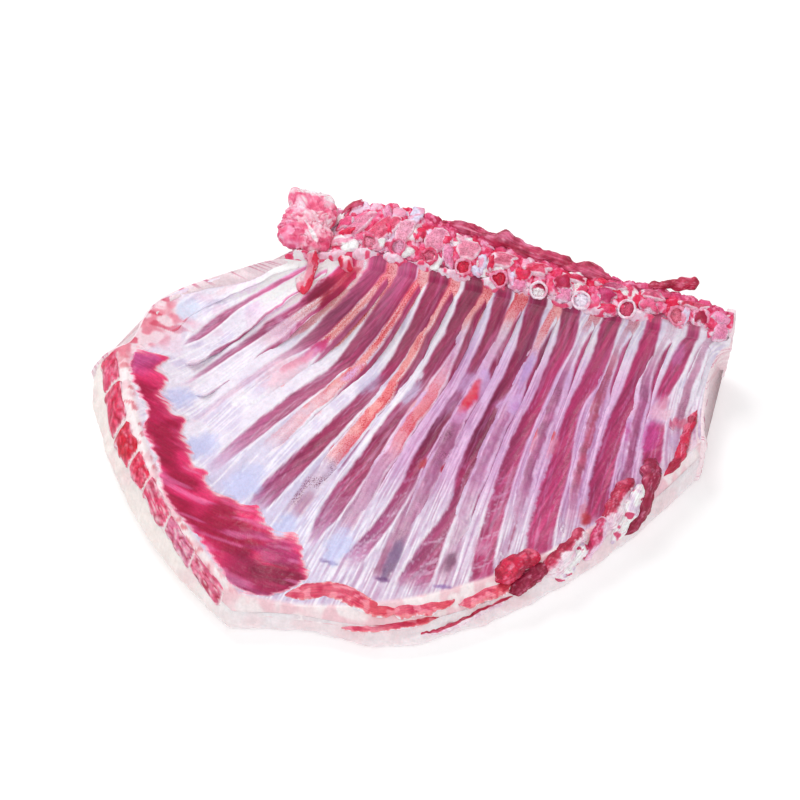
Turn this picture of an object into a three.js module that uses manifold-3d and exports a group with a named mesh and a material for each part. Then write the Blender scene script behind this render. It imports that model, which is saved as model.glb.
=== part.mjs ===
// A raw rack of lamb: one half of the rib cage in one piece, lying on its fat-covered
// outer side with the inner side up. Thirteen ribs fan out from the sawn backbone, which
// is the ridge along the back edge, towards the sawn breastbone on the left and the cut
// flank in front. Millimetres, +Z up, the ribs' backbone ends face +Y.
//
// Every place on the meat is given by three numbers. The first is the rib place, 1 on the
// first rib and 13 on the last, with the muscle between two ribs half way. The second is
// the distance along the rib's line from the backbone, negative on the backbone itself.
// The third is the height above the surface there.

import * as THREE from 'three';
import { mergeVertices } from 'three/addons/utils/BufferGeometryUtils.js';
import Module from 'manifold-3d';

const wasm = await Module();
wasm.setup();

// ---------------------------------------------------------------- driving dimensions

const RIBS = 13;
const FRONT_END = 0.5;           // rib places where the meat is cut off at both ends
const HIND_END = 13.45;
const STERNUM_TIP = 6.05;        // rib place where the breastbone ends and the flank begins
const GAP = 0.35;                // left between pieces that touch
const WELD = 0.005;              // vertices nearer than this are one

const BACKBONE = { x: -98, y: 113, pitch: 20.8, growth: 0.385 };   // growth per rib squared
const BREAST_FRONT = new THREE.Vector2(-212, 26);
const BREAST_TIP = new THREE.Vector2(-76, -156);
const BREAST_BOW = new THREE.Vector2(-12, -14);
const BREAST_CROWDING = 1.65;    // how much closer the front ribs meet the breastbone
const FLANK_BULGE = new THREE.Vector2(107, -156);
const FLANK_BACK = new THREE.Vector2(226, 59);
const FLANK_SPAN = 14;           // rib place where the flank's curve would reach its end

// Guides: pairs of a rib place and a size there, joined by a smooth curve.
const RIM_HEADING = [[0.55, 218], [3, 242], [6, 257], [9, 264], [13.6, 275]];   // degrees
const RIM_REACH = [[0.55, 24], [3, 170], [6, 90], [9, 30], [13.6, 80]];
const ROOT_PULL_X = [[0.55, -137], [2, -84], [4, -37], [7, -39], [10, -24], [13.6, -6]];
const ROOT_PULL_Y = [[0.55, -4], [2, -46], [4, -46], [7, -78], [10, -43], [13.6, -2]];
const LIP_HEIGHT = [[0.5, 74], [3, 78], [8, 68], [13.6, 54]];
const RIM_HEIGHT = [[0.5, 48], [2, 50], [4, 44], [6, 30], [7, 25], [9, 27], [11, 30], [13.6, 36]];
const BOWL_HEIGHT = [[0.5, 36], [3, 27], [6, 22], [13.6, 22]];
const WALL_RUN = [[0.5, 95], [4, 80], [13.6, 60]];
const RIM_RUN = [[0.5, 110], [4, 60], [6, 45], [7.5, 40], [11, 40], [13.6, 60]];
const RIDGE_DEPTH = [[0.5, 22], [1.2, 34], [2, 50], [3.5, 56], [5, 53], [7, 45], [10, 32], [12, 29], [13.6, 20]];
const RIDGE_LIFT = [[0.5, -12], [1.5, -9], [2.3, 4], [4, 8], [13.6, 7]];
const EDGE_WIDTH = [[0.5, 26], [2, 31], [4, 25], [5.2, 20], [6, 14], [7, 9], [8.5, 25], [10.5, 24], [13.6, 14]];
const EDGE_HEIGHT = [[0.5, 30], [3, 25], [6, 13], [8, 10], [13.6, 14]];
const MUSCLE_WIDTH = [[0.8, 12], [2, 36], [3.2, 54], [5, 58], [6.2, 52], [6.9, 34]];
const MUSCLE_FOOT = [[0.8, 2], [2, 6], [3, 8], [4.5, 7], [5.6, 5], [6.2, 12], [6.9, 26]];
const STERNEBRA_OUT = [[0.6, 12], [1.8, 13], [2.8, 14], [3.5, 11], [4.2, 8.5], [6, 7.5]];   // past the rim
const VERTEBRA_END = [[2, 45], [5, 41], [6, 35], [8, 27], [10, 22], [11, 25], [13, 19]];   // from the lip
const RIB_WIDTH = [[1, 12], [2, 17], [3, 16], [4.5, 14], [13, 12.5]];
const RIB_END = [[1, 40], [6, 66], [7, 46], [8, 32], [9, 10], [10, 15], [11, 12], [12, 18], [13, 38]];   // short of the rim

const WALL_POWER = 1.7;
const RIM_POWER = 1.8;
const LIP_DROP = 6;
const END_CURL = 12;
const COVER_THICKNESS = 6;       // the fat under the meat
const RIB_PROUD = 2.2;
const RIB_DEPTH = 5;

const COLOURS = {
  flesh: 0xa8506a, fat: 0xecd3d4, rib: 0xd9a9b4, bone: 0xc9566a, muscle: 0xa93c58, flap: 0xd98c98,
};

// ---------------------------------------------------------------- the meat's surface

// A smooth curve through a guide's pairs, read at one rib place.
function guide(pairs, place) {
  const last = pairs.length - 1;
  const at = THREE.MathUtils.clamp(place, pairs[0][0], pairs[last][0]);
  let i = 0;
  while (i < last - 1 && at > pairs[i + 1][0]) i += 1;
  const slope = (k) => {
    const before = pairs[Math.max(k - 1, 0)];
    const after = pairs[Math.min(k + 1, last)];
    return (after[1] - before[1]) / (after[0] - before[0]);
  };
  const [[x0, y0], [x1, y1]] = [pairs[i], pairs[i + 1]];
  const h = x1 - x0;
  const t = (at - x0) / h;
  const t2 = t * t;
  const t3 = t2 * t;
  return (2 * t3 - 3 * t2 + 1) * y0 + (t3 - 2 * t2 + t) * h * slope(i)
    + (3 * t2 - 2 * t3) * y1 + (t3 - t2) * h * slope(i + 1);
}

// Where a rib's line leaves the backbone, seen from above.
function rootPoint(place) {
  const n = place - 1;
  return new THREE.Vector2(BACKBONE.x + BACKBONE.pitch * n + BACKBONE.growth * n * n, BACKBONE.y);
}

// Where the line meets the breastbone or the cut flank.
function rimPoint(place) {
  if (place < STERNUM_TIP) {
    const t = (place / STERNUM_TIP) ** BREAST_CROWDING;
    return BREAST_FRONT.clone().lerp(BREAST_TIP, t)
      .addScaledVector(BREAST_BOW, Math.sin(Math.PI * t));
  }
  const f = (place - STERNUM_TIP) / (FLANK_SPAN - STERNUM_TIP);
  return new THREE.QuadraticBezierCurve(BREAST_TIP, FLANK_BULGE, FLANK_BACK).getPoint(f);
}

const lines = new Map();

function ribLine(place) {
  if (!lines.has(place)) {
    const heading = THREE.MathUtils.degToRad(guide(RIM_HEADING, place));
    const outward = new THREE.Vector2(Math.cos(heading), Math.sin(heading));
    const root = rootPoint(place);
    const rim = rimPoint(place);
    const pull = new THREE.Vector2(guide(ROOT_PULL_X, place), guide(ROOT_PULL_Y, place));
    const inner = rim.clone().addScaledVector(outward, -guide(RIM_REACH, place));
    const curve = new THREE.CubicBezierCurve(root, root.clone().add(pull), inner, rim);
    lines.set(place, { root, rim, outward, curve, length: curve.getLength() });
  }
  return lines.get(place);
}

// The point seen from above, at a rib place and a distance from the backbone's lip.
function planPoint(place, distance) {
  const { root, rim, outward, curve, length } = ribLine(place);
  if (distance <= 0) return new THREE.Vector2(root.x, root.y - distance);
  if (distance >= length) return rim.clone().addScaledVector(outward, distance - length);
  return curve.getPointAt(distance / length);
}

// Height of the inner side between the backbone's lip and the rim.
function innerHeight(place, distance) {
  const { length } = ribLine(place);
  const bowl = guide(BOWL_HEIGHT, place);
  const wall = THREE.MathUtils.clamp(1 - distance / guide(WALL_RUN, place), 0, 1) ** WALL_POWER;
  const run = guide(RIM_RUN, place);
  const rise = THREE.MathUtils.clamp(1 - (length - distance) / run, 0, 1) ** RIM_POWER;
  return bowl + (guide(LIP_HEIGHT, place) - bowl) * wall + (guide(RIM_HEIGHT, place) - bowl) * rise;
}

const breastShare = (place) => 1 - THREE.MathUtils.smoothstep(place, 4.8, 6.6);
const mix = THREE.MathUtils.lerp;

// Height of the surface anywhere: on the ridge, on the inner side and on the cut edge.
function surfaceHeight(place, distance) {
  const { length } = ribLine(place);
  if (distance < 0) {
    const depth = guide(RIDGE_DEPTH, place);
    return guide(LIP_HEIGHT, place) + 2 + guide(RIDGE_LIFT, place) * Math.min(1, -2.2 * distance / depth);
  }
  if (distance <= length) return innerHeight(place, distance);
  const out = (distance - length) / guide(EDGE_WIDTH, place);
  const rim = guide(RIM_HEIGHT, place);
  const edge = guide(EDGE_HEIGHT, place);
  return mix(rim, edge, Math.min(1, out * mix(1, out, breastShare(place))));
}

function placePoint(place, distance, lift = 0) {
  const { x, y } = planPoint(place, distance);
  return new THREE.Vector3(x, y, surfaceHeight(place, distance) + lift);
}

// ---------------------------------------------------------------- cross sections

// A section is a closed loop of [distance, height] pairs in the upright sheet of one rib line.

const INNER_STEPS = 9;

// The underside curls up a little towards the two cut ends.
function curl(place) {
  const front = (place - FRONT_END) / 0.5;
  const hind = (HIND_END - place) / 0.5;
  return END_CURL * (Math.exp(-front * front) + Math.exp(-hind * hind));
}

// The flesh's outer side, from the rim down, under the ribs and up the back of the ridge.
function fleshUnderside(place) {
  const { length } = ribLine(place);
  const breast = breastShare(place);
  const width = guide(EDGE_WIDTH, place);
  const out = mix(width * 0.6, guide(STERNEBRA_OUT, place) + 6, breast);
  const top = surfaceHeight(place, length + out) - 1;
  const depth = guide(RIDGE_DEPTH, place);
  const lip = guide(LIP_HEIGHT, place);
  const back = lip + guide(RIDGE_LIFT, place);
  const lifted = curl(place);
  return [
    [length + out, top],
    [length + out - 1, top - mix(3, 15, breast)],
    [length - 12, mix(8, 13, breast) + lifted * 0.5],
    [length - 40, COVER_THICKNESS + 1 + lifted],
    [length * 0.45, COVER_THICKNESS + lifted],
    [8, COVER_THICKNESS + lifted],
    [12 - depth, COVER_THICKNESS + 3 + lifted],
    [2 - depth, 24 + lifted * 0.5],
    [-depth, lip * 0.62],
    [1 - depth, back - 2],
  ];
}

function fleshSection(place) {
  const { length } = ribLine(place);
  const depth = guide(RIDGE_DEPTH, place);
  const lip = guide(LIP_HEIGHT, place);
  const loop = fleshUnderside(place);
  for (const share of [0.75, 0.4, 0.12]) {
    loop.push([-share * depth, surfaceHeight(place, -share * depth)]);
  }
  loop.push([0, lip - 1], [1.2, lip - LIP_DROP]);
  for (let i = 1; i <= INNER_STEPS; i += 1) {
    const distance = length * (i / INNER_STEPS) ** 1.15;
    loop.push([distance, innerHeight(place, distance)]);
  }
  return loop;
}

// A line of pairs moved sideways, to the right of its direction of travel.
function shifted(line, amount) {
  return line.map(([x, y], i) => {
    const [ax, ay] = line[Math.max(i - 1, 0)];
    const [bx, by] = line[Math.min(i + 1, line.length - 1)];
    const size = Math.hypot(bx - ax, by - ay);
    return [x + amount * (by - ay) / size, y - amount * (bx - ax) / size];
  });
}

// The fat lies against the flesh's outer side. It is thick outside the breastbone and thin elsewhere.
function coverSection(place) {
  const { length } = ribLine(place);
  const breast = breastShare(place);
  const width = guide(EDGE_WIDTH, place);
  const edge = guide(EDGE_HEIGHT, place);
  const depth = guide(RIDGE_DEPTH, place);
  const lip = guide(LIP_HEIGHT, place);
  const nose = length + width;
  const tuck = mix(14, 24, breast);
  const skin = shifted(fleshUnderside(place), -GAP);
  const start = skin[0][0] + 0.5;
  const middle = mix(start, nose, 0.55);
  const lifted = curl(place);
  return [
    ...skin,
    [-2 - depth, lip + guide(RIDGE_LIFT, place) - 3],
    [-4 - depth, lip * 0.62],
    [-4 - depth, 26 + lifted * 0.5],
    [1 - depth, 7 + lifted],
    [16 - depth, lifted],
    [8, lifted],
    [length * 0.45, lifted],
    [nose - tuck, lifted * 0.8],
    [nose - tuck * 0.4, edge * 0.14 + lifted * 0.5],
    [nose - tuck * 0.08, edge * 0.55],
    [nose, edge],
    [middle, surfaceHeight(place, middle)],
    [start, surfaceHeight(place, start)],
  ];
}

// ---------------------------------------------------------------- solids

// Vertices that coincide are joined, and triangles that this leaves without any area are dropped.
function closedGeometry(positions, triangles) {
  const raw = new THREE.BufferGeometry();
  raw.setAttribute('position', new THREE.Float32BufferAttribute(positions, 3));
  raw.setIndex(triangles);
  const joined = mergeVertices(raw, WELD);
  const order = joined.getIndex().array;
  const kept = [];
  for (let i = 0; i < order.length; i += 3) {
    const [a, b, c] = order.slice(i, i + 3);
    if (a !== b && b !== c && c !== a) kept.push(a, b, c);
  }
  joined.setIndex(kept);
  return joined;
}

function volume(geometry) {
  const p = geometry.getAttribute('position');
  const index = geometry.getIndex();
  const [a, b, c] = [new THREE.Vector3(), new THREE.Vector3(), new THREE.Vector3()];
  let sum = 0;
  for (let i = 0; i < index.count; i += 3) {
    a.fromBufferAttribute(p, index.getX(i));
    b.fromBufferAttribute(p, index.getX(i + 1));
    c.fromBufferAttribute(p, index.getX(i + 2));
    sum += a.dot(b.cross(c)) / 6;
  }
  return sum;
}

function facedOut(geometry) {
  if (volume(geometry) < 0) {
    const order = geometry.getIndex().array;
    for (let i = 0; i < order.length; i += 3) [order[i], order[i + 1]] = [order[i + 1], order[i]];
  }
  return geometry;
}

// A solid through one section at each of the rib places.
function loft(places, section) {
  const positions = [];
  const triangles = [];
  const loops = places.map(section);
  const count = loops[0].length;
  loops.forEach((loop, i) => {
    for (const [distance, height] of loop) {
      const { x, y } = planPoint(places[i], distance);
      positions.push(x, y, height);
    }
  });
  for (let i = 0; i + 1 < loops.length; i += 1) {
    for (let j = 0; j < count; j += 1) {
      const a = i * count + j;
      const b = i * count + ((j + 1) % count);
      triangles.push(a, b, a + count, b, b + count, a + count);
    }
  }
  const cap = (loop, offset, flip) => {
    const outline = loop.map(([x, y]) => new THREE.Vector2(x, y));
    for (const [a, b, c] of THREE.ShapeUtils.triangulateShape(outline, [])) {
      triangles.push(...(flip ? [a, b, c] : [a, c, b]).map((k) => k + offset));
    }
  };
  const turn = THREE.ShapeUtils.isClockWise(loops[0].map(([x, y]) => new THREE.Vector2(x, y)));
  cap(loops[0], 0, turn);
  cap(loops[loops.length - 1], (loops.length - 1) * count, !turn);
  return facedOut(closedGeometry(positions, triangles));
}

// One of three's closed geometries with every vertex moved by a function.
function moulded(geometry, move) {
  const p = geometry.getAttribute('position');
  const positions = [];
  const v = new THREE.Vector3();
  for (let i = 0; i < p.count; i += 1) positions.push(...move(v.fromBufferAttribute(p, i)).toArray());
  return facedOut(closedGeometry(positions, [...geometry.getIndex().array]));
}

// A round bar with soft ends along a curve: wide and high are half sizes at 0..1 along it.
function bar(curve, wide, high, { rows = 12, sides = 8, low = high, grow = 0 } = {}) {
  const up = new THREE.Vector3(0, 0, 1);
  return moulded(new THREE.SphereGeometry(1, sides, rows), (v) => {
    const latitude = Math.acos(THREE.MathUtils.clamp(v.y, -1, 1)) / Math.PI;
    const t = 0.5 - 0.5 * Math.cos(Math.PI * latitude);
    const ring = Math.hypot(v.x, v.z);
    const full = ring < 1e-6 ? 0 : Math.min(1, ring * 1.6);
    const tangent = curve.getTangentAt(t);
    const side = new THREE.Vector3().crossVectors(up, tangent).normalize();
    const angle = Math.atan2(v.z, v.x);
    const tall = Math.sin(angle) > 0 ? high(t) : low(t);
    return curve.getPointAt(t)
      .addScaledVector(tangent, grow * Math.sign(t - 0.5) * (full < 1 ? 1 : 0))
      .addScaledVector(side, full * Math.cos(angle) * (wide(t) + grow))
      .addScaledVector(up, full * Math.sin(angle) * (tall + grow));
  });
}

const constant = (value) => () => value;
const tapered = (value, ends = 0.45) => (t) => value * (ends + (1 - ends) * Math.sin(Math.PI * t) ** 0.6);

// A smooth path through [place, distance, lift] stops.
function path(stops) {
  return new THREE.CatmullRomCurve3(stops.map((stop) => placePoint(...stop)), false, 'centripetal');
}

// ---------------------------------------------------------------- booleans

function toSolid(geometry) {
  return new wasm.Manifold(new wasm.Mesh({
    numProp: 3,
    vertProperties: new Float32Array(geometry.getAttribute('position').array),
    triVerts: new Uint32Array(geometry.getIndex().array),
  }));
}

function toGeometry(solid) {
  const mesh = solid.getMesh();
  return closedGeometry(mesh.vertProperties, [...mesh.triVerts]);
}

// A geometry with its neighbours, already grown by the gap, cut out of it. Loose scraps are dropped.
function carved(geometry, cutters) {
  const tool = cutters.map(toSolid).reduce((sum, solid) => sum.add(solid));
  const bodies = toSolid(geometry).subtract(tool).decompose();
  const largest = bodies.reduce((best, body) => (body.volume() > best.volume() ? body : best));
  return toGeometry(largest);
}

// ---------------------------------------------------------------- the pieces

// Each piece is a function of how much it is grown, so the same shape also cuts its bed.

function rib(number) {
  const { length } = ribLine(number);
  const end = length - guide(RIB_END, number);
  const stops = [];
  for (let i = 0; i <= 8; i += 1) stops.push([number, mix(3.5, end, i / 8), 0]);
  const width = guide(RIB_WIDTH, number) / 2;
  const wide = (t) => width * (0.75 + 0.25 * Math.min(1, 4 * t));
  return (grow) => bar(path(stops), wide, constant(RIB_PROUD),
    { rows: 10, sides: 6, low: constant(RIB_DEPTH), grow });
}

// The sawn end of a rib's head in the ridge's lip: a short round bone that stands on end.
const HEAD = { frontRadius: 4.8, hindRadius: 6.8, length: 9, fromLip: 6.5, tilt: 0.35 };

function ribHead(place) {
  const radius = mix(HEAD.frontRadius, HEAD.hindRadius, place / RIBS);
  const centre = placePoint(place, -HEAD.fromLip);
  return (grow) => {
    const head = new THREE.CylinderGeometry(radius + grow, radius + grow, HEAD.length + 2 * grow, 12);
    head.rotateX(Math.PI / 2 + HEAD.tilt);
    return moulded(head, (v) => v.clone().add(centre));
  };
}

// A vertebra sawn down its middle. The front ones carry a long slanting spine.
function vertebra(number) {
  const place = number + 0.45;
  const near = 14.5;
  const far = guide(VERTEBRA_END, place);
  const half = 0.34;
  const lean = mix(0.9, 0.15, THREE.MathUtils.smoothstep(place, 3, 7));
  return (grow) => moulded(new THREE.BoxGeometry(1, 1, 1, 2, 2, 1), (v) => {
    const along = v.y + 0.5;
    const round = 1 - 0.3 * (2 * Math.abs(v.y)) ** 2 - 0.12 * (2 * Math.abs(v.z)) ** 2;
    const grownAlong = mix(near, far, along) + grow * Math.sign(v.y);
    const across = v.x * 2 * half * round + lean * (along - 0.5) + grow * v.x * 2 / BACKBONE.pitch;
    const { x, y } = planPoint(place + across, -grownAlong);
    const lift = v.z > 0 ? 1.2 - 2 * (v.x * v.x + v.y * v.y) : -9;
    const height = surfaceHeight(place + across, -grownAlong) + lift + Math.sign(v.z) * grow;
    return new THREE.Vector3(x, y, height);
  });
}

// A sawn segment of the breastbone between two rib places.
function sternebra(from, to) {
  return (grow) => moulded(new THREE.BoxGeometry(1, 1, 1, 3, 2, 1), (v) => {
    const round = 1 - 0.35 * (2 * Math.abs(v.x)) ** 3;
    const place = mix(from, to, v.x + 0.5) + Math.sign(v.x) * grow / 40;
    const { length } = ribLine(place);
    const distance = length + guide(STERNEBRA_OUT, place) + v.y * (9.5 * round + 2 * grow);
    const { x, y } = planPoint(place, distance);
    const top = surfaceHeight(place, distance) + 0.8 - 2 * v.y * v.y;
    return new THREE.Vector3(x, y, mix(top - 11, top, v.z + 0.5) + 2 * v.z * grow);
  });
}

// The flat red muscle on the inner side of the breastbone, with a toothed edge.
function breastMuscle(grow) {
  const from = 0.85;
  const to = 6.85;
  const count = 26;
  const places = [];
  for (let i = 0; i <= count; i += 1) {
    const share = i / count;
    places.push(mix(from, to, share));
  }
  const section = (place) => {
    const { length } = ribLine(place);
    const teeth = 4 * Math.sin(place * 7.5);
    const inner = length - guide(MUSCLE_WIDTH, place) - teeth - grow;
    const outer = length - guide(MUSCLE_FOOT, place) + grow;
    const ended = Math.min(place - from, to - place);
    const thick = Math.min(1, 0.3 + ended * 2);
    const loop = [];
    for (const share of [0, 0.15, 0.5, 0.85, 1]) {
      const distance = mix(inner, outer, share);
      const dome = Math.min(1, 5 * share + 0.2, 5 * (1 - share) + 0.2);
      loop.push([distance, innerHeight(place, distance) + 1.8 * thick * dome + grow]);
    }
    for (const share of [1, 0.5, 0]) {
      const distance = mix(inner, outer, share);
      loop.push([distance, innerHeight(place, distance) - 2.2 * thick - grow]);
    }
    return loop;
  };
  const grown = places.map((place, i) => {
    if (i === 0) return place - grow / 20;
    if (i === count) return place + grow / 20;
    return place;
  });
  return loft(grown, section);
}

// The rest of the loin muscle along the ridge's back edge.
const loinMuscle = (grow) => bar(
  path([[5.2, -48, -2], [6.2, -45, -1], [7.2, -41, -1], [8.4, -35, -1], [9.6, -29, -1], [10.6, -27, -3]]),
  tapered(6.5), tapered(5), { rows: 16, grow });

// Red muscle ends in the layers of the flank's cut edge: [rib place, distance past the rim, lift].
const EDGE_STRIPS = {
  flank_muscle_1: { stops: [[6.35, -4, 0], [6.6, -7, 0], [7.1, -9, 0], [7.7, -11, 0]], wide: 4.5, high: 2 },
  flank_muscle_2: { stops: [[7.8, -1, 0], [8.3, 3, 0], [8.9, 6, 0], [9.4, 9, 0]], wide: 4, high: 2 },
  flank_layer: { stops: [[7.5, 5.5, 0], [8.2, 16, 0], [9.2, 20, 0], [10, 20, 0], [10.8, 18, 0]], wide: 2, high: 1.6 },
  skirt_1: { stops: [[9.75, -6, 1], [10.2, -3, 2], [10.7, 2, 1]], wide: 7, high: 5 },
  skirt_2: { stops: [[10.8, 5, 1], [11.15, 6, 3], [11.55, 7, 1]], wide: 8, high: 6 },
  skirt_3: { stops: [[11.75, 11, 0], [12.0, 5, 3], [12.3, -4, 2]], wide: 8, high: 6 },
  skirt_4: { stops: [[12.4, 6, 0], [12.65, -6, 2], [12.9, -18, 2], [13.2, -24, 1]], wide: 5.5, high: 5 },
};

function edgeStrip({ stops, wide, high }) {
  const fromBackbone = stops.map(([place, past, lift]) => [place, ribLine(place).length + past, lift]);
  return (grow) => bar(path(fromBackbone), tapered(wide), tapered(high), { rows: 10, grow });
}

// The flap of neck meat on the ridge's front end, with the horn that points back and left.
const NECK_FLAP = { x: -100, y: 142, z: 80, wide: 19, long: 29, high: 9, hornAt: 2.1, horn: 0.35 };

const neckFlap = (grow) => moulded(new THREE.SphereGeometry(1, 14, 8), (v) => {
  const angle = Math.atan2(v.y, v.x);
  const turn = Math.atan2(Math.sin(angle - NECK_FLAP.hornAt), Math.cos(angle - NECK_FLAP.hornAt));
  const swell = 1 + NECK_FLAP.horn * Math.exp(-((turn / 0.35) ** 2)) + 0.06 * Math.sin(5 * angle);
  return new THREE.Vector3(
    NECK_FLAP.x + v.x * swell * (NECK_FLAP.wide + grow),
    NECK_FLAP.y + v.y * swell * (NECK_FLAP.long + grow),
    NECK_FLAP.z + v.z * (NECK_FLAP.high + grow));
});

const neckStrip = (grow) => bar(
  path([[1.6, 1, 5], [1.95, 9, 6.5], [2.3, 18, 7], [2.55, 27, 6], [2.7, 35, 5.5]]),
  (t) => 3 + 2.5 * t, constant(1.6), { rows: 10, grow });

const neckNub = (grow) => bar(
  path([[2.35, 1, 4], [2.7, 4, 4], [3.1, 9, 3]]), tapered(4), tapered(4), { rows: 6, grow });

const hindStrand = (grow) => bar(
  path([[11.3, -27, 1], [11.9, -32, 2], [12.5, -37, 4]]), (t) => 3 + 2 * t, (t) => 3 + 2 * t,
  { rows: 8, grow });

// ---------------------------------------------------------------- assembly

const STERNUM_CUTS = [[0.65, 1.75], [1.9, 2.72], [2.9, 3.42], [3.58, 3.95], [4.1, 4.62], [4.76, 5.22], [5.35, 5.8]];
const HEADS = 9;
const headPlace = (n) => 3.2 + 0.95 * n + 0.02 * n * n;
const FIRST_VERTEBRA = 2;

const pieces = [];   // [name, shape function of grow, colour]

const twoDigits = (number) => String(number).padStart(2, '0');
for (let n = 1; n <= RIBS; n += 1) pieces.push([`rib_${twoDigits(n)}`, rib(n), COLOURS.rib]);
for (let n = 0; n < HEADS; n += 1) {
  pieces.push([`rib_head_${twoDigits(n + 4)}`, ribHead(headPlace(n)), COLOURS.bone]);
}
for (let n = FIRST_VERTEBRA; n <= RIBS - 1; n += 1) {
  pieces.push([`vertebra_${twoDigits(n)}`, vertebra(n), COLOURS.bone]);
}
STERNUM_CUTS.forEach(([from, to], i) => {
  pieces.push([`sternebra_${i + 1}`, sternebra(from, to), COLOURS.bone]);
});
pieces.push(['breast_muscle', breastMuscle, COLOURS.muscle]);
pieces.push(['loin_muscle', loinMuscle, COLOURS.muscle]);
for (const [name, strip] of Object.entries(EDGE_STRIPS)) pieces.push([name, edgeStrip(strip), COLOURS.muscle]);
pieces.push(['neck_flap', neckFlap, COLOURS.flap]);
pieces.push(['neck_strip', neckStrip, COLOURS.flap]);
pieces.push(['neck_nub', neckNub, COLOURS.flap]);
pieces.push(['hind_strand', hindStrand, COLOURS.muscle]);

// One section runs through each rib and one through the middle of each muscle between ribs.
const sheetPlaces = [FRONT_END];
for (let place = 1; place <= RIBS; place += 0.5) sheetPlaces.push(place);
sheetPlaces.push(HIND_END);

const beds = pieces.map(([, shape]) => shape(GAP));
const group = new THREE.Group();

function addMesh(name, geometry, color) {
  geometry.computeVertexNormals();
  const mesh = new THREE.Mesh(geometry, new THREE.MeshStandardMaterial({ color, roughness: 0.45, metalness: 0 }));
  mesh.name = name;
  group.add(mesh);
}

addMesh('flesh', carved(loft(sheetPlaces, fleshSection), beds), COLOURS.flesh);
addMesh('fat_cover', carved(loft(sheetPlaces, coverSection), beds), COLOURS.fat);
const onRibs = [neckStrip, neckNub, breastMuscle].map((shape) => shape(GAP));
for (const [name, shape, colour] of pieces) {
  const isRib = /^rib_\d/.test(name);
  addMesh(name, isRib ? carved(shape(0), onRibs) : shape(0), colour);
}

// The origin is under the middle of the whole, on the surface that it lies on.
const box = new THREE.Box3().setFromObject(group);
const middle = box.getCenter(new THREE.Vector3());
for (const mesh of group.children) mesh.geometry.translate(-middle.x, -middle.y, -box.min.z);

export default group;
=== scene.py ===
# %% [markdown]
# # A raw rack of lamb
# One half of a lamb's rib cage lies with its inner side up. Thirteen ribs fan out from
# the sawn backbone at the far edge to the sawn breastbone on the left and the cut flank
# in front. The solids of the model are already there. This notebook dresses them: it
# makes a fine skin, bones, muscles and fat, and paints them.
#
# Wet meat is soft and irregular, so almost nothing here is a plain primitive. Every
# surface is worked out by functions in numpy or by Geometry Nodes, which keeps each size
# a named value that can be changed later.

# %% The frame that everything is fitted to
import math
from functools import partial

import bmesh
import bpy
import numpy as np
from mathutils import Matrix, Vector
from mathutils.geometry import tessellate_polygon


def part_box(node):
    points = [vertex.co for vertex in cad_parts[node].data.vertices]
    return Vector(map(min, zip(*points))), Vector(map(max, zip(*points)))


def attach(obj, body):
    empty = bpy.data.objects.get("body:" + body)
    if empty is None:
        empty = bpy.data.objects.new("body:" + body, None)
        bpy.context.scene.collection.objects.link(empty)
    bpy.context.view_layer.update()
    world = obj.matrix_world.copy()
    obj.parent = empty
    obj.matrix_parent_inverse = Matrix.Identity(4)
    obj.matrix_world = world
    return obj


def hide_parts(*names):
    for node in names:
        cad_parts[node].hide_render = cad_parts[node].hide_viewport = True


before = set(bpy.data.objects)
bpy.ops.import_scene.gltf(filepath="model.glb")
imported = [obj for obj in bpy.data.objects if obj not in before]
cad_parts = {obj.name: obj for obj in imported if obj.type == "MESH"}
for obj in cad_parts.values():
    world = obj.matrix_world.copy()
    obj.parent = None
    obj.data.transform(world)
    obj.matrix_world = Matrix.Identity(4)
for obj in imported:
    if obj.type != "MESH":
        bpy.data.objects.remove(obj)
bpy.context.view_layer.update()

# %% [markdown]
# ## Sizes of the meat
# A place on the meat is given by three numbers, all in millimetres or rib places. The
# first is the rib place: 1 on the first rib, 13 on the last, and halves in the muscle
# between. The second is the distance along the rib's line from the backbone's lip. The
# third is a height. Sizes that change along the rack are guides, which are short lists
# of a rib place and a size, joined by a smooth curve. A guide says in a few numbers what
# would otherwise take hundreds of points.

# %% Driving sizes
RIBS = 13
FRONT_END = 0.5
HIND_END = 13.45
STERNUM_TIP = 6.05

BACKBONE_X, BACKBONE_Y, RIB_PITCH, PITCH_GROWTH = -98, 113, 20.8, 0.385
BREAST_FRONT = np.array([-212.0, 26.0])
BREAST_TIP = np.array([-76.0, -156.0])
BREAST_BOW = np.array([-12.0, -14.0])
BREAST_CROWDING = 1.65
FLANK_BULGE = np.array([107.0, -156.0])
FLANK_BACK = np.array([226.0, 59.0])
FLANK_SPAN = 14

RIM_HEADING = [[0.55, 218], [3, 242], [6, 257], [9, 264], [13.6, 275]]
RIM_REACH = [[0.55, 24], [3, 170], [6, 90], [9, 30], [13.6, 80]]
ROOT_PULL_X = [[0.55, -137], [2, -84], [4, -37], [7, -39], [10, -24], [13.6, -6]]
ROOT_PULL_Y = [[0.55, -4], [2, -46], [4, -46], [7, -78], [10, -43], [13.6, -2]]
LIP_HEIGHT = [[0.5, 74], [3, 78], [8, 68], [13.6, 54]]
RIM_HEIGHT = [[0.5, 48], [2, 50], [4, 44], [6, 30], [7, 25], [9, 27], [11, 30], [13.6, 36]]
BOWL_HEIGHT = [[0.5, 36], [3, 27], [6, 22], [13.6, 22]]
WALL_RUN = [[0.5, 95], [4, 80], [13.6, 60]]
RIM_RUN = [[0.5, 110], [4, 60], [6, 45], [7.5, 40], [11, 40], [13.6, 60]]
RIDGE_DEPTH = [[0.5, 22], [1.2, 34], [2, 50], [3.5, 56], [5, 53], [7, 45], [10, 32], [12, 29], [13.6, 20]]
RIDGE_LIFT = [[0.5, -12], [1.5, -9], [2.3, 4], [4, 8], [13.6, 7]]
EDGE_WIDTH = [[0.5, 26], [2, 31], [4, 25], [5.2, 20], [6, 14], [7, 9], [8.5, 25], [10.5, 24], [13.6, 14]]
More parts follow.
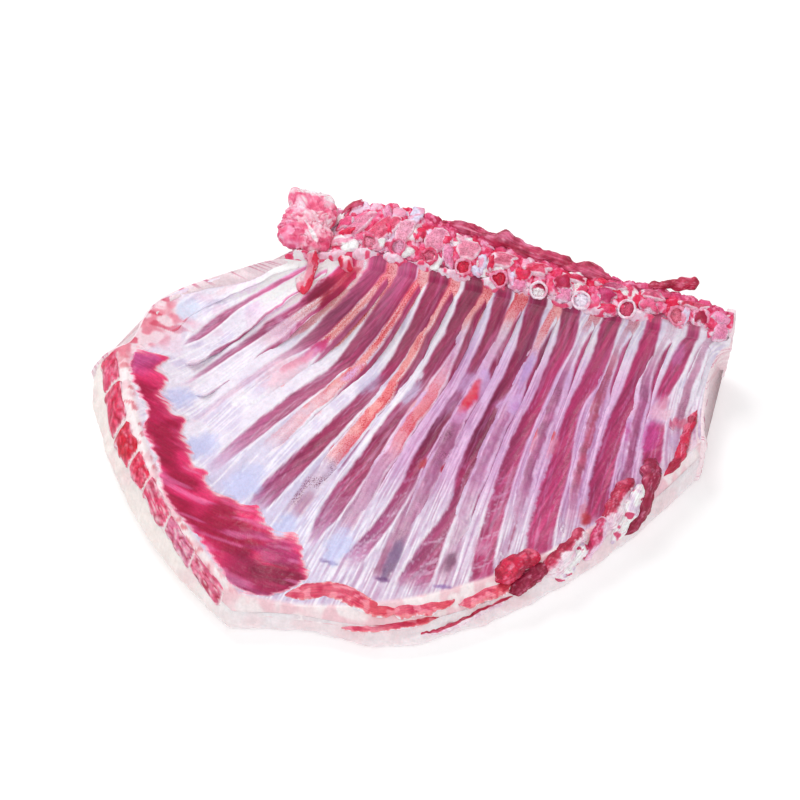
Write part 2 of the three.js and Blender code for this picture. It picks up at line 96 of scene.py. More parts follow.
EDGE_HEIGHT = [[0.5, 30], [3, 25], [6, 13], [8, 10], [13.6, 14]]
STERNEBRA_OUT = [[0.6, 12], [1.8, 13], [2.8, 14], [3.5, 11], [4.2, 8.5], [6, 7.5]]
VERTEBRA_END = [[2, 45], [5, 41], [6, 35], [8, 27], [10, 22], [11, 25], [13, 19]]
RIB_WIDTH = [[1, 12], [2, 17], [3, 16], [4.5, 14], [13, 12.5]]
RIB_END = [[1, 40], [6, 66], [7, 46], [8, 32], [9, 10], [10, 15], [11, 12], [12, 18], [13, 38]]

WALL_POWER = 1.7
RIM_POWER = 1.8
LIP_DROP = 6
LIP_FADE = 7
END_CURL = 12
COVER_THICKNESS = 6
print("the rack has", RIBS, "ribs from rib place", FRONT_END, "to", HIND_END)

# %% Small helpers: guides, steps and noise
def guide(pairs, place):
    """A smooth curve through a guide's pairs, read at any rib places."""
    knots, sizes = np.array(pairs, float).T
    last = len(knots) - 1
    before = np.maximum(np.arange(last + 1) - 1, 0)
    after = np.minimum(np.arange(last + 1) + 1, last)
    slopes = (sizes[after] - sizes[before]) / (knots[after] - knots[before])
    at = np.clip(place, knots[0], knots[-1])
    i = np.clip(np.searchsorted(knots, at, side="right") - 1, 0, last - 1)
    h = knots[i + 1] - knots[i]
    t = (at - knots[i]) / h
    return ((2 * t**3 - 3 * t**2 + 1) * sizes[i] + (t**3 - 2 * t**2 + t) * h * slopes[i]
            + (3 * t**2 - 2 * t**3) * sizes[i + 1] + (t**3 - t**2) * h * slopes[i + 1])


def step(low, high, value):
    """0 below low, 1 above high and a soft rise between. It also falls, if low is above high."""
    t = np.clip((value - low) / (high - low), 0, 1)
    return t * t * (3 - 2 * t)


def window(low, high, fall, end, value):
    """A soft rise from low to high and a soft fall from fall to end."""
    return step(low, high, value) * step(fall, end, value)


def mix(a, b, share):
    return a + (b - a) * share


LATTICE = 48
lattices = {}


def cloud(x, y, z=0.0, seed=1):
    """Smooth noise from 0 to 1, with lumps about one unit wide."""
    if seed not in lattices:
        lattices[seed] = np.random.default_rng(seed).random((LATTICE,) * 3)
    table = lattices[seed]
    points = np.stack(np.broadcast_arrays(np.asarray(x, float), y, z))
    whole = np.floor(points).astype(int)
    part = points - whole
    part = part * part * (3 - 2 * part)
    total = 0.0
    for corner in np.ndindex(2, 2, 2):
        weight = 1.0
        for axis in range(3):
            weight = weight * (part[axis] if corner[axis] else 1 - part[axis])
        total = total + weight * table[tuple((whole[axis] + corner[axis]) % LATTICE for axis in range(3))]
    return total


def rough(x, y, z=0.0, seed=1, octaves=3):
    """Noise from about -1 to 1 with finer and finer detail."""
    total, size = 0.0, 1.0
    for octave in range(octaves):
        scale = 2.03**octave
        finer = (np.multiply(part, scale) for part in (x, y, z))
        total = total + size * (cloud(*finer, seed=seed + octave) - 0.5)
        size *= 0.55
    return total * 2.0


def lumpy(points, size, seed):
    """Roughness with lumps of a size in millimetres, over points of two or three coordinates."""
    return rough(*np.moveaxis(points / np.array(size), -1, 0), seed=seed)


def patches(points, size, low, high, seed):
    """Soft patches of 0 and 1, about a size in millimetres wide."""
    return step(low, high, cloud(*np.moveaxis(points / np.array(size), -1, 0), seed=seed))


def alike(*parts):
    """The parts as number arrays of one shape."""
    return [np.array(part, float) for part in np.broadcast_arrays(*parts)]


# %% [markdown]
# ## The surface of the meat as functions
# Seen from above, each rib's line is a Bezier curve from its root on the backbone to the
# rim. The curves are worked out once on a fine table of rib places, and every later
# piece reads the table. This is quick, and it makes all the pieces agree with each
# other, because they stand on the same surface.

# %% Rib lines, seen from above
TABLE_STEP = 0.025
TABLE = np.arange(0.3, 13.8 + TABLE_STEP / 2, TABLE_STEP)
ARC_STEPS = 160
BEZIER_STEPS = 200


def rim_points(place):
    t = (np.minimum(place, STERNUM_TIP) / STERNUM_TIP)[:, None] ** BREAST_CROWDING
    breast = mix(BREAST_FRONT, BREAST_TIP, t) + BREAST_BOW * np.sin(np.pi * t)
    f = ((place - STERNUM_TIP) / (FLANK_SPAN - STERNUM_TIP))[:, None]
    flank = BREAST_TIP * (1 - f) ** 2 + FLANK_BULGE * 2 * f * (1 - f) + FLANK_BACK * f * f
    return np.where(place[:, None] < STERNUM_TIP, breast, flank)


steps_from_first = TABLE - 1
ROOT = np.stack([BACKBONE_X + RIB_PITCH * steps_from_first + PITCH_GROWTH * steps_from_first**2,
                 np.full_like(TABLE, BACKBONE_Y)], -1)
RIM = rim_points(TABLE)
heading = np.radians(guide(RIM_HEADING, TABLE))
OUTWARD = np.stack([np.cos(heading), np.sin(heading)], -1)
near_root = ROOT + np.stack([guide(ROOT_PULL_X, TABLE), guide(ROOT_PULL_Y, TABLE)], -1)
near_rim = RIM - OUTWARD * guide(RIM_REACH, TABLE)[:, None]

t = np.linspace(0, 1, BEZIER_STEPS + 1)[None, :, None]
bezier = (ROOT[:, None] * (1 - t) ** 3 + near_root[:, None] * 3 * t * (1 - t) ** 2
          + near_rim[:, None] * 3 * t * t * (1 - t) + RIM[:, None] * t**3)
pieces_of_line = np.linalg.norm(np.diff(bezier, axis=1), axis=2)
travelled = np.concatenate([np.zeros((len(TABLE), 1)), np.cumsum(pieces_of_line, axis=1)], axis=1)
LENGTH = travelled[:, -1]
shares = np.linspace(0, 1, ARC_STEPS + 1)
LINES = np.empty((len(TABLE), ARC_STEPS + 1, 2))
for row in range(len(TABLE)):
    for axis in range(2):
        LINES[row, :, axis] = np.interp(shares * LENGTH[row], travelled[row], bezier[row, :, axis])
sideways = np.gradient(LINES, TABLE, axis=0)
forward = np.gradient(LINES, axis=1)
forward /= np.linalg.norm(forward, axis=2, keepdims=True)
SPREAD = np.abs(sideways[..., 0] * forward[..., 1] - sideways[..., 1] * forward[..., 0])
print("rib lines are", LENGTH.min().round(), "to", LENGTH.max().round(), "mm long")


def by_place(table, place):
    """Reads a table with one entry for each rib place."""
    if table.ndim == 1:
        return np.interp(place, TABLE, table)
    return np.stack([np.interp(place, TABLE, table[:, k]) for k in range(table.shape[1])], -1)


def length_at(place):
    return by_place(LENGTH, place)


def by_line(table, place, distance):
    """Reads a table with entries along every rib line."""
    share = np.clip(distance / length_at(place), 0, 1) * ARC_STEPS
    row = np.clip((place - TABLE[0]) / TABLE_STEP, 0, len(TABLE) - 1.001)
    i, j = row.astype(int), np.minimum(share.astype(int), ARC_STEPS - 1)
    a, b = row - i, share - j
    if table.ndim == 3:
        a, b = a[..., None], b[..., None]
    return (table[i, j] * (1 - a) * (1 - b) + table[i + 1, j] * a * (1 - b)
            + table[i, j + 1] * (1 - a) * b + table[i + 1, j + 1] * a * b)


def plan(place, distance):
    """The point seen from above, in millimetres."""
    place, distance = alike(place, distance)
    xy = by_line(LINES, place, distance)
    past = np.maximum(distance - length_at(place), 0)
    xy = xy + by_place(OUTWARD, place) * past[..., None]
    xy[..., 1] -= np.minimum(distance, 0)
    return xy


def spread(place, distance):
    """Millimetres from one rib's line to the next, at this distance along them."""
    place, distance = alike(place, distance)
    return np.maximum(by_line(SPREAD, place, distance), 4.0)


# %% Heights of the surface
def breast_share(place):
    return 1 - step(4.8, 6.6, place)


def inner_height(place, distance):
    length = length_at(place)
    bowl = guide(BOWL_HEIGHT, place)
    wall = np.clip(1 - distance / guide(WALL_RUN, place), 0, 1) ** WALL_POWER
    rise = np.clip(1 - (length - distance) / guide(RIM_RUN, place), 0, 1) ** RIM_POWER
    return bowl + (guide(LIP_HEIGHT, place) - bowl) * wall + (guide(RIM_HEIGHT, place) - bowl) * rise


def surface_height(place, distance):
    """Height on the ridge, on the inner side and on the cut edge."""
    length = length_at(place)
    ridge = (guide(LIP_HEIGHT, place) + 2
             + guide(RIDGE_LIFT, place) * np.minimum(1, -2.2 * distance / guide(RIDGE_DEPTH, place)))
    out = np.maximum(distance - length, 0) / guide(EDGE_WIDTH, place)
    slope = np.minimum(1, out * mix(1, out, breast_share(place)))
    edge = mix(guide(RIM_HEIGHT, place), guide(EDGE_HEIGHT, place), slope)
    inside = inner_height(place, np.clip(distance, 0, length))
    return np.where(distance < 0, ridge, np.where(distance > length, edge, inside))


def raised(place, distance, up):
    """Points at any height over a rib place and a distance."""
    return np.concatenate([plan(place, distance), up[..., None]], -1)


def on_surface(place, distance, lift=0.0):
    place, distance, lift = alike(place, distance, lift)
    return raised(place, distance, surface_height(place, distance) + lift)


# %% From the meat's own millimetres to the frame's metres
HEAD_FROM_LIP = 6.5
FIRST_HEAD = 3.2
low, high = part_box("rib_head_04")
OFFSET = (np.array(low) + np.array(high)) / 2 - on_surface(FIRST_HEAD, -HEAD_FROM_LIP) / 1000
print("the frame's origin is moved by", (OFFSET * 1000).round(2), "mm")


def metres(points):
    return np.asarray(points) / 1000 + OFFSET

# %% [markdown]
# ## Camera, light and floor
# Food is photographed in large soft light, so that it looks fresh and wet and the
# shadows stay open. A nearly white sky fills every shadow. One big lamp from behind and
# to the left gives the ribs their form, and a smaller one in front keeps the near edge
# bright.

# %% Camera
CAMERA_AZIMUTH = math.radians(12)
CAMERA_ELEVATION = math.radians(52)
CAMERA_LENS = 70.0
CAMERA_SENSOR = 36.0
CAMERA_DISTANCE = 1111.1
CAMERA_PITCH = math.atan(40 / (CAMERA_LENS / CAMERA_SENSOR * 800))   # lowers the subject in the frame
LOOKED_AT = np.array([0.0, 0.0, 20.0])


def look(azimuth, elevation):
    """The direction of view at an azimuth and an elevation."""
    return Vector((-math.sin(azimuth) * math.cos(elevation),
                   math.cos(azimuth) * math.cos(elevation), -math.sin(elevation)))


camera_data = bpy.data.cameras.new("camera")
camera_data.lens = CAMERA_LENS
camera_data.sensor_width = CAMERA_SENSOR
camera_data.clip_start = 0.01
camera = bpy.data.objects.new("camera", camera_data)
bpy.context.scene.collection.objects.link(camera)
camera.location = Vector(metres(LOOKED_AT)) - look(CAMERA_AZIMUTH, CAMERA_ELEVATION) * CAMERA_DISTANCE / 1000
direction = look(CAMERA_AZIMUTH, CAMERA_ELEVATION - CAMERA_PITCH)
camera.rotation_euler = direction.to_track_quat("-Z", "Y").to_euler()
bpy.context.scene.camera = camera
print("camera at", [round(v, 3) for v in camera.location])

# %% Light, white surroundings and the floor
world = bpy.data.worlds.new("white surroundings")
world.use_nodes = True
world.node_tree.nodes["Background"].inputs["Color"].default_value = (1.0, 1.0, 1.0, 1.0)
world.node_tree.nodes["Background"].inputs["Strength"].default_value = 0.54
bpy.context.scene.world = world
bpy.context.scene.view_settings.view_transform = "Standard"


def soft_lamp(name, place, size, power):
    """A square lamp of a size in metres that points at the meat."""
    data = bpy.data.lights.new(name, "AREA")
    data.shape = "SQUARE"
    data.size = size
    data.energy = power
    lamp = bpy.data.objects.new(name, data)
    lamp.location = place
    lamp.rotation_euler = (Vector((0, 0, 0.03)) - Vector(place)).to_track_quat("-Z", "Y").to_euler()
    bpy.context.scene.collection.objects.link(lamp)


soft_lamp("lamp_behind", (-0.7, 0.9, 1.4), 1.0, 14)
soft_lamp("lamp_front", (0.3, -1.0, 1.3), 0.9, 9)

FLOOR_SIZE = 6.0
floor_mesh = bpy.data.meshes.new("floor")
corners = [(-1, -1), (1, -1), (1, 1), (-1, 1)]
floor_mesh.from_pydata([(x * FLOOR_SIZE / 2, y * FLOOR_SIZE / 2, 0) for x, y in corners], [], [(0, 1, 2, 3)])
floor = bpy.data.objects.new("floor", floor_mesh)
bpy.context.scene.collection.objects.link(floor)
floor_material = bpy.data.materials.new("pale floor")
floor_material.use_nodes = True
floor_shader = floor_material.node_tree.nodes["Principled BSDF"]
floor_shader.inputs["Base Color"].default_value = (0.94, 0.94, 0.94, 1)
floor_shader.inputs["Roughness"].default_value = 0.9
floor_shader.inputs["Emission Color"].default_value = (1, 1, 1, 1)
floor_shader.inputs["Emission Strength"].default_value = 0.16
floor_mesh.materials.append(floor_material)
print("light and floor are set")

# %% [markdown]
# ## Materials for wet meat
# The large pattern of red, pink and white is painted on the vertices by functions, and
# each piece carries it as a colour attribute called tone. The shader adds what is finer
# than the mesh: a fibrous grain that follows the meat by the piece's own UV map, tiny
# specks, and a bump for both. Fresh meat has a thin film of water, so the gloss comes
# from a low roughness with a clear coat, and light goes a little way in before it comes
# out, which is subsurface scattering.

# %% One recipe for all meaty materials
FLECK_SCALE = 1200


def give(tree, node, values):
    """Types each value into its socket. An output is linked, and a node gives its first output."""
    for label, value in values.items():
        if isinstance(value, bpy.types.Node):
            value = value.outputs[0]
        if isinstance(value, bpy.types.NodeSocket):
            tree.links.new(value, node.inputs[label])
        else:
            node.inputs[label].default_value = value


def add_node(tree, kind, values=None, **settings):
    node = tree.nodes.new(kind)
    for label, value in settings.items():
        setattr(node, label, value)
    give(tree, node, values or {})
    return node


def meat_material(name, fibre, speck, bump, roughness=0.42, coat=0.12, glow=0.08):
    """fibre and speck are how strongly each fine pattern shows, bump is its depth in metres."""
    material = bpy.data.materials.new(name)
    material.use_nodes = True
    tree = material.node_tree
    add = partial(add_node, tree)

    def noise(scale, detail, vector):
        return add("ShaderNodeTexNoise", {"Scale": scale, "Detail": detail, "Vector": vector})

    def ranged(value, from_low, from_high, to_low, to_high):
        return add("ShaderNodeMapRange", {
            "Value": value, "From Min": from_low, "From Max": from_high, "To Min": to_low, "To Max": to_high,
        })

    def combined(operation, a, b):
        return add("ShaderNodeMath", {0: a, 1: b}, operation=operation)

    def brightened(colour, amount):
        """A colour made lighter or darker by a share that may be below 0."""
        return add("ShaderNodeVectorMath", {0: colour, 1: amount, 2: colour}, operation="MULTIPLY_ADD")

    tone = add("ShaderNodeAttribute", attribute_name="tone").outputs
    fleck = add("ShaderNodeAttribute", attribute_name="fleck").outputs
    place = add("ShaderNodeTexCoord").outputs["Object"]
    grain = add("ShaderNodeUVMap", uv_map="grain")
    stretched = add("ShaderNodeMapping", {"Vector": grain, "Scale": (1.0, 0.06, 1.0)})
    fibres = noise(1000, 4, stretched)
    specks = noise(520, 5, place)
    dots = noise(FLECK_SCALE, 2, place)

    streaks = combined("MULTIPLY", ranged(fibres, 0.3, 0.7, -fibre, 0.7 * fibre), tone["Alpha"])
    colour = brightened(tone["Color"], streaks)
    colour = brightened(colour, ranged(specks, 0.3, 0.7, -speck, 0.7 * speck))
    dotted = combined("MULTIPLY", ranged(dots, 0.5, 0.6, 0.0, 1.0), fleck["Alpha"])
    flecked = add("ShaderNodeMix", {"Factor": dotted, "A": colour, "B": fleck["Color"]}, data_type="RGBA")
    height = combined("ADD", combined("MULTIPLY", fibres, tone["Alpha"]), specks)
    relief = add("ShaderNodeBump", {"Strength": 0.6, "Distance": bump, "Height": height})
    give(tree, tree.nodes["Principled BSDF"], {
        "Base Color": flecked.outputs["Result"], "Normal": relief,
        "Roughness": ranged(specks, 0.3, 0.7, roughness - 0.1, roughness + 0.1),
        "Coat Weight": coat, "Coat Roughness": 0.16, "Specular IOR Level": 0.3,
        "Subsurface Weight": glow, "Subsurface Scale": 0.004, "Subsurface Radius": (1.0, 0.35, 0.3),
    })
    return material


SKIN = meat_material("meat skin", fibre=0.22, speck=0.06, bump=0.0005)
RIB_BONE = meat_material("rib bone", fibre=0.08, speck=0.08, bump=0.0003, roughness=0.40)
SPONGE = meat_material("sawn bone", fibre=0.0, speck=0.22, bump=0.0012, roughness=0.40)
FAT = meat_material("fat", fibre=0.03, speck=0.05, bump=0.0006, roughness=0.46, glow=0.15)
MUSCLE = meat_material("red muscle", fibre=0.22, speck=0.10, bump=0.0007)
print("materials:", [m.name for m in (SKIN, RIB_BONE, SPONGE, FAT, MUSCLE)])

# %% Paints, and how they are laid over each other
def paint(*colours):
    """A colour, or a list of colours, as they look on a screen, from 0 to 255."""
    return np.array(colours) / 255


# painted shade: dark red of muscle that lies in shade, under the ridge's lip and in the crease beside each
# rib
MUSCLE_IN_SHADE = paint(146, 26, 74)
MUSCLE_RED = paint(160, 48, 94)
MUSCLE_PINK = paint(186, 62, 114)
MUSCLE_LILAC = paint(172, 82, 138)
MEMBRANE = paint(226, 210, 231)
BRIGHT = paint(246, 241, 248)
SALMON = paint(244, 160, 160)
BLOOD = paint(206, 34, 48)
LILAC_BONE = paint(158, 76, 116)
CREAM_FAT = paint(250, 238, 234)
PINK_FAT = paint(240, 200, 208)
ORANGE_RED = paint(216, 72, 76)


def lay(base, colour, mask):
    """A colour laid over others where the mask is near 1. Three plain numbers are a paint."""
    base, colour = (paint(*c) if isinstance(c, tuple) else c for c in (base, colour))
    mask = np.clip(mask, 0, 1)[..., None]
    return base * (1 - mask) + colour * mask


def shade(base, amount):
    """Lighter or darker by a share."""
    return base * (1 + amount)[..., None]


def richer(tone, amount, light=1.0):
    """Lighter, and with less green where it is red already; white stays white."""
    tone = np.minimum(tone * light, 0.97)
    ratio = np.clip(tone[..., 1:2] / np.maximum(tone[..., :1], 1e-4), 0, 1)
    return tone * np.concatenate([np.ones_like(ratio), ratio**amount, ratio ** (0.1 * amount)], -1)


def linear(colour):
    """The same colour in the numbers that light is reckoned with."""
    colour = np.clip(colour, 0.0, 1.0)
    return np.where(colour <= 0.04045, colour / 12.92, ((colour + 0.055) / 1.055) ** 2.4)


# %% Making a piece from arrays
def volume_of(points, triangles):
    a, b, c = (points[triangles[:, k]] for k in range(3))
    return np.einsum("ij,ij->", a, np.cross(b, c)) / 6


def new_piece(name, mesh):
    piece = bpy.data.objects.new(name, mesh)
    bpy.context.scene.collection.objects.link(piece)
    return piece


def add_piece(name, points, tone, material, slot, nodes=(), quads=(), triangles=(), **looks):
    """A closed smooth mesh, painted and tied to the rack. Points are in millimetres."""
    points = metres(points).reshape(-1, 3)
    quads = np.asarray(quads, int).reshape(-1, 4)
    triangles = np.asarray(triangles, int).reshape(-1, 3)
    if volume_of(points, np.concatenate([triangles, quads[:, [0, 1, 2]], quads[:, [0, 2, 3]]])) < 0:
        quads, triangles = quads[:, ::-1], triangles[:, ::-1]
    mesh = bpy.data.meshes.new(name)
    mesh.from_pydata(points.tolist(), [], quads.tolist() + triangles.tolist())
    return dress(new_piece(name, mesh), tone, material, slot, nodes, **looks)


def fetch(items, label, width=1, kind=np.float32):
    """One value of all vertices, corners or attribute entries, as an array."""
    values = np.empty(len(items) * width, kind)
    items.foreach_get(label, values)
    return values.reshape(-1, width) if width > 1 else values


def add_colours(mesh, label, colour, amount):
    values = np.empty((len(mesh.vertices), 4), np.float32)
    values[:, :3] = linear(colour).reshape(-1, 3)
    values[:, 3] = np.ravel(amount)
    mesh.color_attributes.new(label, "FLOAT_COLOR", "POINT").data.foreach_set("color", values.ravel())


def dress(piece, tone, material, slot, nodes=(), grain=None, fleck=(BLOOD, 0.0), fibre=1.0):
    """Gives a mesh its paint, grain, material and place on the body.

    fleck is the colour of fine dots and how many there are, 0 to 1. fibre is how strong the grain is.
    """
    mesh = piece.data
    mesh.materials.clear()
    mesh.materials.append(material)
    mesh.polygons.foreach_set("use_smooth", np.ones(len(mesh.polygons), bool))
    add_colours(mesh, "tone", tone, np.clip(fibre, 0, 1))
    add_colours(mesh, "fleck", fleck[0], np.clip(fleck[1], 0, 1))
    if grain is not None:
        corners = fetch(mesh.loops, "vertex_index", kind=np.int32)
        flat = (np.reshape(grain, (-1, 2))[corners] / 1000).astype(np.float32)
        mesh.uv_layers.new(name="grain").data.foreach_set("uv", flat.ravel())
    mesh.update()
    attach(piece, "root")
    if nodes:
        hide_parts(*nodes)
    print(f"{piece.name}: {len(mesh.vertices)} vertices, {len(mesh.polygons)} faces")
    return piece


def tube_faces(columns, rows):
    """Quads between closed loops of rows vertices, one loop for each column."""
    i, j = np.meshgrid(np.arange(columns - 1), np.arange(rows), indexing="ij")
    a = i * rows + j
    b = i * rows + (j + 1) % rows
    return np.stack([a, b, b + rows, a + rows], -1).reshape(-1, 4)


def cap_faces(outline, first):
    """Triangles that close a loop of [across, up] pairs whose vertices start at first."""
    corners = [Vector((x, y, 0)) for x, y in outline]
    return np.array(tessellate_polygon([corners])) + first

# %% [markdown]
# ## The inner side: muscle between the ribs
# Between two ribs runs a flat muscle, hollowed a little, with fibres that slant from rib
# to rib. A white band of connective tissue follows the lower side of each rib, and a
# fine crease with a line of painted shade in it follows its upper side. The muscle is
# painted darker towards the ridge, as shade under its lip. The whole skin could be
# sculpted by hand, but its features all follow the rib lines, so a grid of rib places and
# distances carries them best: a column of the grid runs along the ribs and a row runs across them.

# %% Where the muscles lie between the ribs
MUSCLES = [   # for each gap: distance, the two edges in hundredths of the gap, and how strongly it shows
    [[0, 40, 60, 0], [100, 40, 60, 0]],
    [[0, 50, 75, 0.7], [30, 50, 66, 0.8], [60, 50, 62, 0.7], [80, 47, 67, 1], [104, 50, 66, 1],
     [118, 56, 60, 0]],
    [[0, 45, 90, 1], [20, 50, 85, 1], [40, 50, 77, 1], [60, 50, 78, 1], [80, 52, 75, 1], [110, 56, 72, 0.9],
     [135, 60, 70, 0.5], [152, 62, 68, 0]],
    [[0, 30, 90, 1], [20, 40, 87, 1], [40, 48, 86, 1], [60, 56, 85, 0.9], [80, 58, 76, 0.5],
     [120, 55, 70, 0.3], [160, 50, 62, 0.2], [180, 50, 60, 0]],
    [[0, 25, 86, 1], [20, 34, 87, 1], [40, 40, 86, 1], [60, 50, 86, 1], [80, 55, 85, 0.9],
     [120, 50, 80, 0.9], [160, 45, 72, 0.8], [180, 43, 66, 0.5], [203, 42, 60, 0]],
    [[0, 28, 90, 1], [20, 42, 91, 1], [40, 48, 92, 1], [60, 52, 92, 1], [80, 50, 84, 0.8],
     [100, 50, 80, 0.9], [140, 45, 77, 1], [180, 37, 70, 1], [200, 35, 66, 0.8], [216, 38, 60, 0]],
    [[0, 35, 88, 1], [20, 46, 94, 1], [40, 45, 88, 1], [60, 45, 78, 0.9], [80, 45, 76, 0.7],
     [100, 42, 76, 0.9], [140, 44, 80, 1], [180, 38, 80, 1], [200, 40, 75, 0.8], [215, 47, 68, 0.6],
     [229, 50, 66, 0]],
    [[0, 27, 74, 1], [20, 48, 87, 1], [40, 52, 90, 1], [60, 54, 85, 0.7], [80, 52, 80, 0.7],
     [100, 50, 77, 1], [140, 50, 76, 1], [160, 55, 80, 0.9], [195, 45, 72, 0.9], [215, 30, 62, 0.8],
     [238, 15, 50, 0]],
    [[0, 22, 73, 1], [20, 42, 86, 1], [40, 50, 88, 1], [60, 45, 78, 1], [80, 48, 80, 1], [100, 48, 83, 1],
     [140, 52, 80, 1], [160, 62, 86, 0.9], [180, 58, 82, 0.9], [200, 42, 80, 0.9], [225, 30, 82, 0.9],
     [243, 20, 80, 0]],
    [[0, 18, 68, 1], [20, 40, 87, 1], [40, 44, 78, 1], [60, 44, 74, 1], [80, 36, 70, 1], [120, 35, 70, 0.9],
     [160, 38, 72, 0.9], [200, 42, 78, 1], [220, 46, 86, 1], [236, 50, 85, 0]],
    [[0, 28, 76, 1], [20, 42, 86, 1], [40, 40, 84, 1], [60, 32, 64, 1], [100, 32, 72, 1], [120, 32, 78, 1],
     [160, 27, 76, 1], [190, 30, 80, 1], [206, 40, 80, 0]],
    [[0, 38, 74, 1], [20, 46, 90, 1], [40, 46, 86, 1], [60, 35, 80, 1], [80, 33, 75, 1], [120, 27, 70, 1],
     [150, 30, 70, 1], [166, 30, 70, 0]],
    [[0, 38, 68, 0.9], [20, 35, 76, 1], [38, 30, 62, 1], [48, 30, 55, 0.1], [60, 30, 60, 0.1],
     [68, 28, 66, 1], [98, 28, 68, 1], [108, 35, 66, 0]],
    [[0, 10, 30, 0], [100, 10, 30, 0]],
]
RIB_START = 3.5


def rib_end(number):
    return length_at(number) - guide(RIB_END, number)


def rib_half(number, distance):
    """Half of a rib's width. It fades to nothing past the rib's end."""
    end = rib_end(number)
    along = np.clip((distance - RIB_START) / (end - RIB_START), 0, 1)
    half = guide(RIB_WIDTH, number) / 2 * (0.75 + 0.25 * np.minimum(1, 4 * along))
    return half * step(end + 4, end - 10, distance)


def muscle_band(place, distance):
    """Millimetres inside the muscle from its left and right edge, and how strongly it shows."""
    place, distance = alike(place, distance)
    gap = np.clip(np.floor(place), 0, RIBS).astype(int)
    left, right, show = (np.zeros(place.shape) for _ in range(3))
    for number, rows in enumerate(MUSCLES):
        here = gap == number
        rows = np.array(rows) / (1, 100, 100, 1)
        for column, values in ((1, left), (2, right), (3, show)):
            values[here] = guide(rows[:, [0, column]], distance[here])
    wide = spread(place, distance)
    return (place - gap - left) * wide, (right - place + gap) * wide, np.clip(show, 0, 1)


def strokes(from_left, distance, left, seed):
    """Slanting streaks that run from rib to rib through the muscle."""
    return rough((distance + 0.9 * from_left) * 0.42, from_left * 0.07, left * 3.7, seed)


# %% Small marks: bruises, tags and nicks
CARTILAGE = (194, 197, 236)   # bluish, where the front ribs end
SPOTS = [   # rib place, distance, half size across and along, colour, strength
    (4.03, 66, 5.5, 11, (206, 52, 122), 0.9), (4, 73, 4, 8, (214, 130, 200), 0.7),
    (3.98, 94, 8, 24, (236, 190, 208), 0.75), (4.05, 84, 5, 14, (224, 110, 144), 0.5),
    (3.02, 62, 7, 16, (232, 196, 224), 0.7), (3.1, 44, 6, 14, (240, 206, 210), 0.6),
    (3.2, 30, 5, 12, (238, 160, 158), 0.5), (3.45, 74, 3, 12, (222, 214, 232), 0.7),
    (4.98, 74, 3.5, 11, (214, 168, 228), 0.8), (4.93, 96, 4, 12, (238, 196, 208), 0.7),
    (5.12, 118, 4, 3.5, (236, 120, 130), 0.5), (4.2, 108, 2, 2, (232, 90, 100), 0.8),
    (4.55, 142, 1.2, 7, (210, 90, 160), 0.35), (5.5, 78, 5, 10, (190, 180, 214), 0.6),
    (6.55, 76, 4, 12, (202, 190, 218), 0.8), (6.42, 60, 3, 5, (240, 236, 248), 0.9),
    (6.95, 66, 5, 12, (240, 196, 204), 0.5), (6.9, 92, 5, 12, (236, 150, 148), 0.5),
    (8.02, 70, 4.4, 15, (222, 40, 78), 1), (8, 90, 4.5, 8, (212, 164, 202), 0.6),
    (7.72, 58, 6, 10, (214, 200, 226), 0.8), (7.62, 78, 4, 10, (180, 138, 168), 0.6),
    (7.95, 50, 5, 4, (224, 214, 242), 0.9), (8.3, 62, 3, 14, (226, 220, 236), 0.8),
    (8.87, 69, 6.5, 9, (218, 204, 232), 0.9), (8.88, 70, 2.6, 4, (206, 168, 214), 0.6),
    (8.25, 30, 2.4, 12, (238, 234, 250), 0.9), (9, 40, 3.2, 12, (200, 186, 226), 0.9),
    (8.02, 30, 5, 14, (226, 196, 212), 0.7), (8.05, 112, 6, 14, (164, 108, 138), 0.6),
    (8.75, 24, 3, 16, (120, 44, 90), 0.4), (7.75, 138, 2.2, 4.5, (190, 30, 60), 0.9),
    (10.2, 92, 1.8, 6, (214, 66, 74), 1), (10.25, 100, 5, 10, (236, 160, 170), 0.6),
    (11.33, 160, 3.4, 7, (176, 34, 50), 0.9), (10, 182, 0.9, 14, (150, 50, 90), 0.7),
    (9.5, 196, 5, 7, (214, 150, 184), 0.7), (11.25, 152, 3, 10, (226, 130, 140), 0.4),
    (12.42, 54, 9, 7, (236, 200, 212), 0.8), (12.5, 46, 4, 5, (226, 120, 150), 0.4),
    (12.35, 76, 7, 12, (214, 88, 168), 0.6), (12.5, 14, 4, 8, (206, 130, 190), 0.5),
    (6.05, 176, 7, 17, (206, 186, 208), 0.7), (6.05, 196, 5, 12, (150, 70, 110), 0.35),
    (6.25, 140, 1, 22, (140, 60, 110), 0.7), (7.02, 170, 6, 30, (206, 150, 186), 0.6),
    (7.02, 236, 5.5, 1.6, (110, 80, 140), 0.9), (8.03, 221, 4.5, 17, (116, 88, 130), 0.8),
    (8, 239, 6, 2, (112, 60, 120), 0.9), (9.02, 213, 3.5, 10, (112, 66, 96), 0.7),
    (9.05, 236, 6, 2, (130, 90, 160), 0.8), (9.25, 190, 0.9, 30, (170, 110, 160), 0.6),
    (3.8, 136, 1.4, 6, BRIGHT, 1), (3.86, 141, 3, 2, BRIGHT, 1), (3.9, 132, 2.5, 1.6, BRIGHT, 0.9),
    (1, 58, 3, 12, (240, 206, 214), 0.6), (1, 92, 9, 9, (212, 218, 240), 0.9),
    (0.7, 30, 5, 16, (232, 190, 204), 0.5), (2.9, 14, 6, 16, (150, 28, 52), 0.7),
    (2.7, 24, 4, 12, (118, 24, 56), 0.8), (13.1, 62, 5, 5, (206, 50, 90), 0.5),
    (12.95, 78, 4, 12, (196, 170, 208), 0.6), (13.2, 86, 6, 12, (240, 226, 238), 0.8),
    (2.92, 160, 8, 12, CARTILAGE, 0.8), (4.08, 186, 9, 13, CARTILAGE, 0.8),
    (5.1, 198, 12, 18, CARTILAGE, 0.8), (6.02, 222, 7, 15, CARTILAGE, 0.8),
    (7.05, 222, 8, 16, CARTILAGE, 0.8),
]


